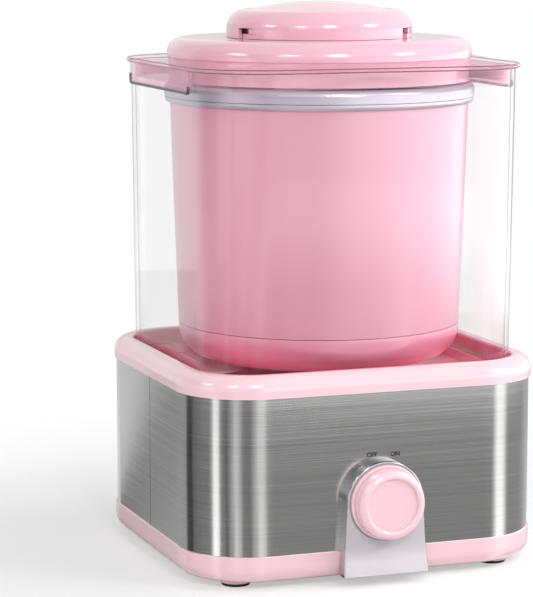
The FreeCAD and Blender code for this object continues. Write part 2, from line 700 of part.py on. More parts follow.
def top_deck():
    outer = prism(BASE_HALF_X + TRIM_PROUD, BASE_HALF_Y + TRIM_PROUD, BASE_CORNER + TRIM_PROUD,
                  STEEL_TOP, TRIM_TOP)
    outer = round_level(outer, TRIM_TOP, TRIM_ROUND)
    skirt = prism(LIP_HALF_X, LIP_HALF_Y, LIP_CORNER, STEEL_TOP - LIP_HEIGHT, STEEL_TOP + PASS)
    under = prism(LIP_HALF_X - LIP_WALL, LIP_HALF_Y - LIP_WALL, LIP_CORNER - LIP_WALL,
                  STEEL_TOP - LIP_HEIGHT - PASS, TRIM_TOP - TRIM_ROOF)
    upper_tub = prism(WELL_HALF_X + DECK_WALL, WELL_HALF_Y + DECK_WALL, WELL_CORNER + DECK_WALL,
                      WELL_LEDGE - DECK_WALL, TRIM_TOP - TRIM_ROOF + PASS)
    low_x = WELL_HALF_X - WELL_LEDGE_WIDTH
    low_y = WELL_HALF_Y - WELL_LEDGE_WIDTH
    low_corner = WELL_CORNER - WELL_LEDGE_WIDTH
    lower_tub = prism(low_x + DECK_WALL, low_y + DECK_WALL, low_corner + DECK_WALL,
                      DECK_UNDERSIDE, WELL_LEDGE)
    shell = fuse([outer, skirt]).cut(under)
    solids = [shell, upper_tub, lower_tub]
    well = prism(WELL_HALF_X, WELL_HALF_Y, WELL_CORNER, WELL_LEDGE, TRIM_TOP + PASS)
    sump = prism(low_x, low_y, low_corner, WELL_FLOOR, WELL_LEDGE + PASS)
    deck = carve(fuse(solids), [well, sump])
    deck = round_level(deck, TRIM_TOP, WELL_EDGE_ROUND, WELL_HALF_X + PASS)
    extras = [disc(SEAL_BOSS_RADIUS, WELL_FLOOR - DECK_WALL / 2, SEAL_BOSS_TOP)]
    holes = [disc(SHAFT_RADIUS + PASS, DECK_UNDERSIDE - PASS, SEAL_BOSS_TOP),
             disc(SEAL_RADIUS, WELL_FLOOR - DECK_WALL / 2, SEAL_BOSS_TOP + PASS)]
    for x, y in POSTS:
        extras.append(disc(POST_RADIUS, POST_SPLIT, WELL_FLOOR - DECK_WALL / 2, x, y))
        holes.append(disc(SCREW_RADIUS, POST_SPLIT - PASS, POST_SPLIT + SCREW_DEPTH, x, y))
    for x, y in COLUMNS:
        extras.append(disc(GEARBOX_COLUMN_RADIUS, GEARBOX_TOP, WELL_FLOOR - DECK_WALL / 2, x, y))
        holes.append(disc(GEARBOX_SCREW_RADIUS, GEARBOX_TOP - PASS, GEARBOX_TOP + GEARBOX_SCREW_GRIP, x, y))
    return carve(fuse([deck] + extras), holes)


def cord_gland():
    tail = disc(GLAND_RADIUS, -STEEL_GAUGE - GLAND_TAIL, 0)
    flange = disc(GLAND_FLANGE_RADIUS, 0, GLAND_FLANGE)
    flange = round_level(flange, GLAND_FLANGE, GLAND_FLANGE / 2)
    nut = hexagon(GLAND_FLANGE_RADIUS - PASS, -STEEL_GAUGE - NUT_THICKNESS, -STEEL_GAUGE)
    body = fuse([tail, flange, nut])
    bore = disc(LEAD_RADIUS, -STEEL_GAUGE - GLAND_TAIL - PASS, GLAND_FLANGE + PASS)
    return face_rear(body.cut(bore), GLAND_X, BASE_HALF_Y, GLAND_HEIGHT)


# Control plate, knob and switch

def tongue(radius, spread, low, near, far):
    """Arched outline of the control plate, filled between two depths in front of the axis."""
    right = point(radius, -near, KNOB_HEIGHT)
    left = point(-radius, -near, KNOB_HEIGHT)
    crown = point(0, -near, KNOB_HEIGHT + radius)
    foot_right = point(radius + spread, -near, low)
    foot_left = point(-radius - spread, -near, low)
    edges = [Part.Arc(left, crown, right).toShape()]
    for start, end in ((right, foot_right), (foot_right, foot_left), (foot_left, left)):
        edges.append(Part.LineSegment(start, end).toShape())
    return Part.Face(Part.Wire(edges)).extrude(point(0, near - far, 0))


def tongue_depth(front, low, high, flare):
    """Side view of the control plate: upright behind the knob, curving forward to its foot."""
    reach = PLATE_RADIUS * 2
    bend = low + PLATE_FLARE_HEIGHT
    stops = [point(-reach, -BASE_HALF_Y, low), point(-reach, -BASE_HALF_Y, high), point(-reach, -front, high),
             point(-reach, -front, bend)]
    toe = point(-reach, -front - flare, low)
    belly = point(-reach, -front - flare / 4, (low + bend) / 2)
    edges = [Part.LineSegment(start, end).toShape() for start, end in zip(stops, stops[1:])]
    edges.append(Part.Arc(stops[-1], belly, toe).toShape())
    edges.append(Part.LineSegment(toe, stops[0]).toShape())
    return Part.Face(Part.Wire(edges)).extrude(point(2 * reach, 0, 0))


def control_plate():
    top = KNOB_HEIGHT + PLATE_RADIUS + PASS
    deep = PLATE_FRONT + PLATE_FLARE + PASS
    outer = tongue(PLATE_RADIUS, PLATE_SPREAD, PLATE_BOTTOM, BASE_HALF_Y, deep)
    outer = outer.common(tongue_depth(PLATE_FRONT, PLATE_BOTTOM, top, PLATE_FLARE))
    front_edges = []
    for edge in outer.Edges:
        span = edge.BoundBox
        if span.YMax < -PLATE_FRONT + PASS / 10 and span.ZMax - span.ZMin > PASS:
            front_edges.append(edge)
    outer = outer.makeFillet(PLATE_BEVEL, front_edges)
    sill = PLATE_BOTTOM + PLATE_WALL
    inner = tongue(PLATE_RADIUS - PLATE_WALL, PLATE_SPREAD, sill, BASE_HALF_Y - PASS, deep)
    inner = inner.common(tongue_depth(PLATE_FRONT - PLATE_WALL, sill, top, PLATE_FLARE))
    bosses = []
    holes = [face_front(disc(BUSH_RADIUS + BUSH_PLAY, 0, PLATE_PROUD + PASS), 0, BASE_HALF_Y, KNOB_HEIGHT)]
    for x, z in PLATE_BOSSES:
        bosses.append(face_front(disc(PLATE_BOSS_RADIUS, 0, PLATE_PROUD - PLATE_WALL / 2), x, BASE_HALF_Y, z))
        pilot = disc(SMALL_SCREW_RADIUS, -PASS, PLATE_PROUD - PLATE_WALL)
        holes.append(face_front(pilot, x, BASE_HALF_Y, z))
    recess = disc(KNOB_RADIUS + KNOB_RECESS_PLAY, PLATE_PROUD - KNOB_RECESS, PLATE_PROUD + PASS)
    holes.append(face_front(recess, 0, BASE_HALF_Y, KNOB_HEIGHT))
    tray_front = BASE_HALF_Y + TRAY_PROUD + LIP_PLAY
    reach = PLATE_RADIUS * 2
    holes.append(box(-reach, reach, -tray_front, 0, 0, STEEL_BOTTOM + LIP_PLAY))
    return carve(fuse([outer.cut(inner)] + bosses), holes)


def plate_screws():
    screws = []
    for x, z in PLATE_BOSSES:
        shank = disc(SMALL_SCREW_RADIUS, -STEEL_GAUGE, PLATE_PROUD - PLATE_WALL - PASS)
        head = disc(SMALL_HEAD_RADIUS, -STEEL_GAUGE - SMALL_HEAD_HEIGHT, -STEEL_GAUGE)
        screws.append(face_front(fuse([shank, head]), x, BASE_HALF_Y, z))
    return group(screws)


def rotary_switch():
    back = -STEEL_GAUGE
    half_width = SWITCH_WIDTH / 2
    half_height = SWITCH_HEIGHT / 2
    body = prism(half_width, half_height, SWITCH_WALL, back - SWITCH_DEPTH, back)
    bush = disc(BUSH_RADIUS, back, BUSH_LENGTH)
    bore = disc(KNOB_SHAFT_RADIUS + RUNNING_PLAY, back - SWITCH_DEPTH + SWITCH_WALL, BUSH_LENGTH + PASS)
    return face_front(fuse([body, bush]).cut(bore), 0, BASE_HALF_Y, KNOB_HEIGHT)


def switch_nut():
    nut = hexagon(NUT_HEX, 0, NUT_THICKNESS).cut(disc(BUSH_RADIUS, -PASS, NUT_THICKNESS + PASS))
    return face_front(nut, 0, BASE_HALF_Y, KNOB_HEIGHT)


def knob_shaft():
    low = -STEEL_GAUGE - SWITCH_DEPTH + SWITCH_WALL + AXIAL_PLAY
    high = PLATE_PROUD + KNOB_GAP + KNOB_DEPTH - KNOB_DISH - KNOB_WALL
    return face_front(disc(KNOB_SHAFT_RADIUS, low, high), 0, BASE_HALF_Y, KNOB_HEIGHT)


def control_knob():
    core = KNOB_DEPTH - KNOB_DISH - KNOB_WALL
    hollow = KNOB_BODY_RADIUS - KNOB_WALL
    shoulder = KNOB_BODY_RADIUS - KNOB_ROUND
    edge = KNOB_DEPTH - KNOB_ROUND
    lip = (KNOB_RADIUS - KNOB_BODY_RADIUS) / 2
    neck = KNOB_BODY_RADIUS - KNOB_NECK
    neck_top = KNOB_FLANGE + KNOB_NECK_HEIGHT
    knob = turned([
        (KNOB_SHAFT_RADIUS, 0), (KNOB_HUB_RADIUS, 0), (KNOB_HUB_RADIUS, core), (hollow, core), (hollow, 0),
        (KNOB_RADIUS, 0), (KNOB_RADIUS, KNOB_FLANGE - lip),
        (KNOB_RADIUS - lip, KNOB_FLANGE, KNOB_RADIUS - lip, KNOB_FLANGE - lip),
        (neck, KNOB_FLANGE), (neck, neck_top), (KNOB_BODY_RADIUS, neck_top), (KNOB_BODY_RADIUS, edge),
        (shoulder, KNOB_DEPTH, shoulder, edge),
        (KNOB_DISH_RADIUS + KNOB_DISH, KNOB_DEPTH),
        (KNOB_DISH_RADIUS, KNOB_DEPTH - KNOB_DISH, KNOB_DISH_RADIUS + KNOB_DISH, KNOB_DEPTH - KNOB_DISH),
        (0, KNOB_DEPTH - KNOB_DISH), (0, core), (KNOB_SHAFT_RADIUS, core)])
    return face_front(knob, 0, PLATE_FRONT + KNOB_GAP, KNOB_HEIGHT)


# Motor and gearbox

def gearbox_block(margin, low, high):
    corner = GEARBOX_CORNER - margin
    block = prism(GEARBOX_HALF_X - margin, GEARBOX_HALF_Y - margin, corner, low, high)
    block.translate(point(GEARBOX_X, GEARBOX_Y, 0))
    return block


def gearbox_housing():
    outer = gearbox_block(0, GEARBOX_BOTTOM, GEARBOX_RIM)
    inner = gearbox_block(GEARBOX_WALL, GEARBOX_FLOOR_TOP, GEARBOX_RIM + PASS)
    columns = [disc(GEARBOX_COLUMN_RADIUS, GEARBOX_BOTTOM, GEARBOX_RIM, x, y) for x, y in COLUMNS]
    bosses = [disc(IDLER_PIN_RADIUS + GEARBOX_WALL, GEARBOX_BOTTOM, LARGE_LOW - AXIAL_PLAY, IDLER_X, IDLER_Y)]
    bosses.append(disc(SPINDLE_BUSH_RADIUS + GEARBOX_WALL, GEARBOX_BOTTOM, LOWER_BUSH_TOP - PASS))
    holes = [disc(SPINDLE_BUSH_RADIUS, GEARBOX_BOTTOM - PASS, LOWER_BUSH_TOP),
             disc(IDLER_PIN_RADIUS, GEARBOX_BOTTOM - PASS, GEARBOX_RIM, IDLER_X, IDLER_Y),
             disc(MOTOR_BUSH_RADIUS + PASS, GEARBOX_BOTTOM - PASS, GEARBOX_RIM, MOTOR_X, MOTOR_Y)]
    for x, y in COLUMNS:
        holes.append(disc(GEARBOX_SCREW_RADIUS + BUSH_PLAY, GEARBOX_BOTTOM - PASS, GEARBOX_RIM + PASS, x, y))
    for x, y in MOTOR_EARS:
        bosses.append(disc(GEARBOX_COLUMN_RADIUS, GEARBOX_BOTTOM, GEARBOX_FLOOR_TOP + GEAR_LIFT, x, y))
        grip = GEARBOX_BOTTOM + MOTOR_SCREW_GRIP
        holes.append(disc(GEARBOX_SCREW_RADIUS, GEARBOX_BOTTOM - PASS, grip, x, y))
    return carve(fuse([outer.cut(inner)] + columns + bosses), holes)


def gearbox_cover():
    plate = gearbox_block(0, GEARBOX_RIM, GEARBOX_TOP)
    boss = disc(SPINDLE_BUSH_RADIUS + GEARBOX_WALL, GEARBOX_TOP - UPPER_BUSH_LENGTH, GEARBOX_TOP)
    holes = [disc(SPINDLE_BUSH_RADIUS, GEARBOX_RIM - UPPER_BUSH_LENGTH, GEARBOX_TOP + PASS),
             disc(IDLER_PIN_RADIUS, GEARBOX_RIM - PASS, GEARBOX_TOP - GEARBOX_LID / 2, IDLER_X, IDLER_Y)]
    for x, y in COLUMNS:
        holes.append(disc(GEARBOX_SCREW_RADIUS + BUSH_PLAY, GEARBOX_RIM - PASS, GEARBOX_TOP + PASS, x, y))
    return carve(fuse([plate, boss]), holes)


def gearbox_screws():
    screws = []
    for x, y in COLUMNS:
        head = disc(SMALL_HEAD_RADIUS, GEARBOX_BOTTOM - SMALL_HEAD_HEIGHT, GEARBOX_BOTTOM, x, y)
        shank = disc(GEARBOX_SCREW_RADIUS, GEARBOX_BOTTOM, GEARBOX_TOP + GEARBOX_SCREW_GRIP, x, y)
        screws.append(fuse([head, shank]))
    return group(screws)


def idler_pin():
    return disc(IDLER_PIN_RADIUS, GEARBOX_BOTTOM, GEARBOX_TOP - GEARBOX_LID / 2, IDLER_X, IDLER_Y)


def idler_gear():
    large = gear(IDLER_LARGE_TEETH, INPUT_MODULE, LARGE_LOW, LARGE_HIGH, MOTOR_ANGLE)
    gap_phase = IDLER_ANGLE + 180 + 180 / IDLER_SMALL_TEETH
    small = gear(IDLER_SMALL_TEETH, OUTPUT_MODULE, LARGE_HIGH, OUTPUT_HIGH + AXIAL_PLAY, gap_phase)
    bore = disc(IDLER_PIN_RADIUS + RUNNING_PLAY, LARGE_LOW - PASS, OUTPUT_HIGH + PASS)
    wheel = large.fuse(small).cut(bore)
    wheel.translate(point(IDLER_X, IDLER_Y, 0))
    return wheel


def output_gear():
    wheel = gear(OUTPUT_TEETH, OUTPUT_MODULE, OUTPUT_LOW, OUTPUT_HIGH, IDLER_ANGLE)
    hub = disc(HUB_RADIUS, HUB_LOW, OUTPUT_HIGH + AXIAL_PLAY)
    bore = disc(SHAFT_RADIUS, HUB_LOW - PASS, OUTPUT_HIGH + PASS)
    return wheel.fuse(hub).cut(bore)


def drive_shaft():
    groove = SHAFT_RADIUS - CIRCLIP_GROOVE
    shaft = disc(SHAFT_RADIUS, GEARBOX_BOTTOM, CANISTER_BOTTOM + COUPLING_HEAD - PASS)
    return shaft.cut(ring(SHAFT_RADIUS + PASS, groove, CIRCLIP_LOW, CIRCLIP_LOW + CIRCLIP_THICKNESS))


def shaft_circlip():
    groove = SHAFT_RADIUS - CIRCLIP_GROOVE
    top = CIRCLIP_LOW + CIRCLIP_THICKNESS
    return sector(groove, CIRCLIP_RADIUS, CIRCLIP_LOW, top, 0, 360 - CIRCLIP_GAP_ANGLE)


def lower_bush():
    return ring(SPINDLE_BUSH_RADIUS, SHAFT_RADIUS + RUNNING_PLAY, GEARBOX_BOTTOM, LOWER_BUSH_TOP)


def upper_bush():
    low = GEARBOX_TOP - UPPER_BUSH_LENGTH
    return ring(SPINDLE_BUSH_RADIUS, SHAFT_RADIUS + RUNNING_PLAY, low, GEARBOX_TOP)


def thrust_washer():
    return ring(HUB_RADIUS, SHAFT_RADIUS + RUNNING_PLAY, LOWER_BUSH_TOP, HUB_LOW)


def shaft_seal():
    return ring(SEAL_RADIUS, SHAFT_RADIUS + SEAL_PLAY, WELL_FLOOR - DECK_WALL / 2, SEAL_BOSS_TOP)


def drive_coupling():
    flange = disc(COUPLING_RADIUS, COUPLING_BOTTOM, CANISTER_BOTTOM)
    head = hexagon(COUPLING_HEX, CANISTER_BOTTOM, CANISTER_BOTTOM + COUPLING_HEAD)
    bore = disc(SHAFT_RADIUS, COUPLING_BOTTOM - PASS, CANISTER_BOTTOM + COUPLING_HEAD - PASS)
    return fuse([flange, head]).cut(bore)


def motor_can():
    can = disc(MOTOR_RADIUS, MOTOR_BOTTOM, MOTOR_TOP, MOTOR_X, MOTOR_Y)
    inside = disc(MOTOR_RADIUS - MOTOR_WALL, MOTOR_BOTTOM + MOTOR_WALL, MOTOR_TOP + PASS, MOTOR_X, MOTOR_Y)
    hole = disc(MOTOR_BUSH_RADIUS, MOTOR_BOTTOM - PASS, MOTOR_TOP, MOTOR_X, MOTOR_Y)
    return carve(can, [inside, hole])


def motor_end_plate():
    pieces = [disc(MOTOR_RADIUS, MOTOR_TOP, GEARBOX_BOTTOM, MOTOR_X, MOTOR_Y)]
    holes = [disc(MOTOR_BUSH_RADIUS, MOTOR_TOP - PASS, GEARBOX_BOTTOM + PASS, MOTOR_X, MOTOR_Y)]
    for x, y in MOTOR_EARS:
        pieces.append(disc(MOTOR_EAR_RADIUS, MOTOR_TOP, GEARBOX_BOTTOM, x, y))
        arm = box(0, MOTOR_EAR_REACH, -MOTOR_EAR_RADIUS, MOTOR_EAR_RADIUS, MOTOR_TOP, GEARBOX_BOTTOM)
        arm.rotate(CENTRE, UP, math.degrees(math.atan2(y - MOTOR_Y, x - MOTOR_X)))
        arm.translate(point(MOTOR_X, MOTOR_Y, 0))
        pieces.append(arm)
        holes.append(disc(GEARBOX_SCREW_RADIUS + BUSH_PLAY, MOTOR_TOP - PASS, GEARBOX_BOTTOM + PASS, x, y))
    return carve(fuse(pieces), holes)


def motor_coil():
    low = MOTOR_BOTTOM + MOTOR_WALL
    return ring(MOTOR_RADIUS - MOTOR_WALL, ROTOR_RADIUS + AIR_GAP, low, MOTOR_TOP, MOTOR_X, MOTOR_Y)


def motor_rotor():
    low = MOTOR_BOTTOM + MOTOR_BUSH_LENGTH + COIL_MARGIN
    high = MOTOR_TOP - MOTOR_BUSH_LENGTH - COIL_MARGIN
    return ring(ROTOR_RADIUS, MOTOR_SHAFT_RADIUS, low, high, MOTOR_X, MOTOR_Y)


def motor_shaft():
    gap_phase = MOTOR_ANGLE + 180 + 180 / PINION_TEETH
    pinion = gear(PINION_TEETH, INPUT_MODULE, PINION_LOW, PINION_HIGH, gap_phase)
    pinion.translate(point(MOTOR_X, MOTOR_Y, 0))
    spindle = disc(MOTOR_SHAFT_RADIUS, MOTOR_BOTTOM, PINION_HIGH + PASS, MOTOR_X, MOTOR_Y)
    return spindle.fuse(pinion)


def motor_bushes():
    inner = MOTOR_SHAFT_RADIUS + RUNNING_PLAY
    bushes = []
    for low in (MOTOR_BOTTOM, GEARBOX_BOTTOM - MOTOR_BUSH_LENGTH):
        bushes.append(ring(MOTOR_BUSH_RADIUS, inner, low, low + MOTOR_BUSH_LENGTH, MOTOR_X, MOTOR_Y))
    return group(bushes)


def motor_screws():
    screws = []
    for x, y in MOTOR_EARS:
        head = disc(SMALL_HEAD_RADIUS, MOTOR_TOP - SMALL_HEAD_HEIGHT, MOTOR_TOP, x, y)
        shank = disc(GEARBOX_SCREW_RADIUS, MOTOR_TOP, GEARBOX_BOTTOM + MOTOR_SCREW_GRIP, x, y)
        screws.append(fuse([head, shank]))
    return group(screws)


def supply_lead():
    """Lead from the gland's mouth to the switch, along the tray floor."""
    x = GLAND_X
    start = BASE_HALF_Y - STEEL_GAUGE - GLAND_TAIL
    mouth = BASE_HALF_Y + GLAND_FLANGE - GLAND_MOUTH
    far_x = -(WELL_HALF_X - POST_INSET_X) - POST_RADIUS - LEAD_BEND
    switch_x = -SWITCH_WIDTH / 4
    switch_back = -(BASE_HALF_Y - STEEL_GAUGE - SWITCH_DEPTH)
    return lead([
        point(x, mouth, GLAND_HEIGHT), point(x, start - 2 * LEAD_BEND, GLAND_HEIGHT),
        point(far_x, start - 4 * LEAD_BEND, LEAD_HEIGHT),
        point(far_x, switch_back + 4 * LEAD_BEND, LEAD_HEIGHT),
        point(switch_x, switch_back + 2 * LEAD_BEND, KNOB_HEIGHT), point(switch_x, switch_back, KNOB_HEIGHT)])


def motor_lead():
    """Inside lead from the switch to the side of the motor."""
    x = SWITCH_WIDTH / 4
    switch_back = -(BASE_HALF_Y - STEEL_GAUGE - SWITCH_DEPTH)
    side = MOTOR_X + MOTOR_RADIUS
    middle = (MOTOR_BOTTOM + MOTOR_TOP) / 2
    return lead([
        point(x, switch_back, KNOB_HEIGHT), point(x, switch_back + 2 * LEAD_BEND, KNOB_HEIGHT),
        point(side + 3 * LEAD_BEND, MOTOR_Y - 3 * LEAD_BEND, middle),
        point(side + 2 * LEAD_BEND, MOTOR_Y, middle), point(side, MOTOR_Y, middle)])


# Canister

def shell_radius(height):
    """Outside radius of the tapered shell at a height."""
    return SEAM_RADIUS + SHELL_TAPER * (height - SEAM_HEIGHT) / SHELL_HEIGHT


def bowl_radius(height):
    """Inside radius of the tapered bowl at a height."""
    share = (height - BOWL_FLOOR) / (RIM_TOP - BOWL_FLOOR)
    return BOWL_LOW_RADIUS + BOWL_TAPER * share


def canister_shell():
    low = SEAM_HEIGHT + SEAM_GROOVE
    return turned([
        (shell_radius(low) - SHELL_WALL, low), (shell_radius(low), low),
        (shell_radius(SHELL_TOP), SHELL_TOP), (shell_radius(SHELL_TOP) - SHELL_WALL, SHELL_TOP)])


def canister_bottom_cap():
    flat = SEAM_RADIUS - BOTTOM_CAP_ROUND
    bend = CANISTER_BOTTOM + BOTTOM_CAP_ROUND
    floor = CANISTER_BOTTOM + SHELL_WALL
    inner = SEAM_RADIUS - SHELL_WALL
    spigot = shell_radius(SEAM_HEIGHT) - SHELL_WALL - INNER_PLAY
    spigot_top = SEAM_HEIGHT + LIP_HEIGHT
    cup = SOCKET_RADIUS + SHELL_WALL
    return turned([
        (SOCKET_RADIUS, CANISTER_BOTTOM), (flat, CANISTER_BOTTOM),
        (SEAM_RADIUS, bend, flat, bend), (SEAM_RADIUS, SEAM_HEIGHT), (spigot, SEAM_HEIGHT),
        (spigot, spigot_top), (spigot - SHELL_WALL, spigot_top),
        (spigot - SHELL_WALL, SEAM_HEIGHT - SHELL_WALL), (inner - SHELL_WALL, bend),
 (flat, floor, flat, bend - SHELL_WALL / 2), (cup, floor),
        (cup, SOCKET_ROOF), (0, SOCKET_ROOF), (0, SOCKET_TOP), (SOCKET_RADIUS, SOCKET_TOP)])


def drive_socket():
    outer = disc(SOCKET_RADIUS, CANISTER_BOTTOM, SOCKET_TOP)
    return outer.cut(hexagon(COUPLING_HEX + HEX_PLAY, CANISTER_BOTTOM - PASS, SOCKET_TOP + PASS))


def inner_bowl():
    under = BOWL_FLOOR - BOWL_WALL
    low_wall = bowl_radius(BOWL_FLOOR + BOWL_ROUND)
    floor_edge = low_wall - BOWL_ROUND
    bend = BOWL_FLOOR + BOWL_ROUND
    flange_low = RIM_TOP - BOWL_WALL
    top_wall = bowl_radius(flange_low)
    edge = RIM_RADIUS - RIM_ROUND
    lip_inner = RIM_RADIUS - BOWL_WALL
    lip_low = RIM_TOP - RIM_BAND
    inner_round = RIM_ROUND - BOWL_WALL
    return turned([
        (0, BOWL_FLOOR), (floor_edge, BOWL_FLOOR), (low_wall, bend, floor_edge, bend),
        (bowl_radius(RIM_TOP), RIM_TOP), (edge, RIM_TOP),
        (RIM_RADIUS, RIM_TOP - RIM_ROUND, edge, RIM_TOP - RIM_ROUND),
        (RIM_RADIUS, lip_low), (lip_inner, lip_low), (lip_inner, flange_low - inner_round),
        (lip_inner - inner_round, flange_low, lip_inner - inner_round, flange_low - inner_round),
        (top_wall + BOWL_WALL, flange_low), (low_wall + BOWL_WALL, bend),
        (floor_edge, under, floor_edge, bend), (0, under)])


def rim_gasket():
    inner = bowl_radius(SHELL_TOP) + BOWL_WALL + INNER_PLAY
    return ring(shell_radius(SHELL_TOP) - SEAM_GROOVE, inner, SHELL_TOP, SHELL_TOP + GASKET_THICKNESS)


def rim_clamp_ring():
    top = RIM_TOP - RIM_BAND - SEAM_GROOVE
    low = SHELL_BAND
    outer = RIM_RADIUS - SEAM_GROOVE
    inner = shell_radius(top) + INNER_PLAY
    foot = shell_radius(low) + INNER_PLAY
    round_size = outer - foot - SEAM_GROOVE
    return turned([
        (foot, low), (outer - round_size, low),
        (outer, low + round_size, outer - round_size, low + round_size),
        (outer, top), (inner, top)])


def freezing_gel():
    bend = BOWL_FLOOR + BOWL_ROUND
    low_wall = bowl_radius(bend)
    floor_edge = low_wall - BOWL_ROUND
    under = BOWL_FLOOR - BOWL_WALL - INNER_PLAY
    skin = BOWL_WALL + INNER_PLAY
    top = SHELL_TOP - INNER_PLAY
    spigot_top = SEAM_HEIGHT + LIP_HEIGHT + INNER_PLAY
    spigot = shell_radius(SEAM_HEIGHT) - 2 * SHELL_WALL - 2 * INNER_PLAY
    cap_bend = CANISTER_BOTTOM + BOTTOM_CAP_ROUND
    floor = CANISTER_BOTTOM + SHELL_WALL + INNER_PLAY
    flat = SEAM_RADIUS - BOTTOM_CAP_ROUND
    cup = SOCKET_RADIUS + SHELL_WALL + INNER_PLAY
    outside = shell_radius(spigot_top) - SHELL_WALL - INNER_PLAY
    return turned([
        (cup, floor), (flat, floor), (spigot - SHELL_WALL, cap_bend, flat, cap_bend - SHELL_WALL / 2),
        (spigot, SEAM_HEIGHT - SHELL_WALL), (spigot, spigot_top), (outside, spigot_top),
        (shell_radius(top) - SHELL_WALL - INNER_PLAY, top), (bowl_radius(top) + skin, top),
        (low_wall + skin, bend), (floor_edge, under, floor_edge, bend),
        (0, under), (0, SOCKET_ROOF + INNER_PLAY), (cup, SOCKET_ROOF + INNER_PLAY)])


# Clear cover and lid

def clear_cover():
    outer = loft(rounded_wire(COVER_HALF_X, COVER_HALF_Y, COVER_CORNER, WELL_LEDGE),
                 rounded_wire(COVER_TOP_HALF_X, COVER_TOP_HALF_Y, COVER_TOP_CORNER, COVER_TOP))
    inner = loft(rounded_wire(COVER_HALF_X - COVER_WALL, COVER_HALF_Y - COVER_WALL, COVER_CORNER - COVER_WALL,
                              WELL_LEDGE),
                 rounded_wire(COVER_TOP_HALF_X - COVER_WALL, COVER_TOP_HALF_Y - COVER_WALL,
                              COVER_TOP_CORNER - COVER_WALL, COVER_TOP))
    return outer.cut(inner)


def clear_lid():
    half_x = COVER_TOP_HALF_X + FLANGE_OVERHANG
    half_y = COVER_TOP_HALF_Y + FLANGE_OVERHANG
    corner = COVER_TOP_CORNER + FLANGE_OVERHANG
    flange = prism(half_x, half_y, corner, COVER_TOP, FLANGE_TOP)
    flange = round_level(round_level(flange, FLANGE_TOP, FLANGE_ROUND), COVER_TOP, FLANGE_ROUND)
    inset = FLANGE_ROUND + PASS
    flat_x = half_x - corner
    flat_y = half_y - corner
    collar = DOME_RADIUS + PASS
    slope = loft(rounded_wire(half_x - inset, half_y - inset, corner - inset, FLANGE_TOP),
                 matched_circle(collar, flat_x, flat_y, corner - inset, DOME_SEAT))
    skirt_share = (COVER_TOP - SKIRT_DEPTH - WELL_LEDGE) / (COVER_TOP - WELL_LEDGE)
    skirt_x = COVER_HALF_X + (COVER_TOP_HALF_X - COVER_HALF_X) * skirt_share - COVER_WALL - SKIRT_PLAY
    skirt_y = COVER_HALF_Y + (COVER_TOP_HALF_Y - COVER_HALF_Y) * skirt_share - COVER_WALL - SKIRT_PLAY
    skirt_corner = COVER_TOP_CORNER - COVER_WALL - SKIRT_PLAY
    skirt = prism(skirt_x, skirt_y, skirt_corner, COVER_TOP - SKIRT_DEPTH, COVER_TOP + PASS)
    hollow = prism(skirt_x - SKIRT_WALL, skirt_y - SKIRT_WALL, skirt_corner - SKIRT_WALL,
                   COVER_TOP - SKIRT_DEPTH - PASS, COVER_TOP)
    hole = disc(LID_HOLE_RADIUS, COVER_TOP - SKIRT_DEPTH - PASS, DOME_SEAT + PASS)
    tabs = []
    for side in (0, 180):
        tab = side_tab(COVER_TOP_HALF_X + TAB_PLAY, half_x, flat_y)
        tab.rotate(CENTRE, UP, side)
        tabs.append(tab)
    return carve(fuse([flange, slope, skirt.cut(hollow)] + tabs), [hole])


def side_tab(inside, outside, half_length):
    """Grip that hangs outside the cover along one side of the lid, with rounded lower corners."""
    low = COVER_TOP - TAB_DEPTH
    tab = box(inside, outside, -half_length, half_length, low, COVER_TOP + FLANGE_THICKNESS / 2)
    corners = []
    for edge in tab.Edges:
        span = edge.BoundBox
        if span.ZMax < COVER_TOP and span.XMax - span.XMin > TAB_PLAY:
            corners.append(edge)
    return tab.makeFillet(TAB_ROUND, corners)


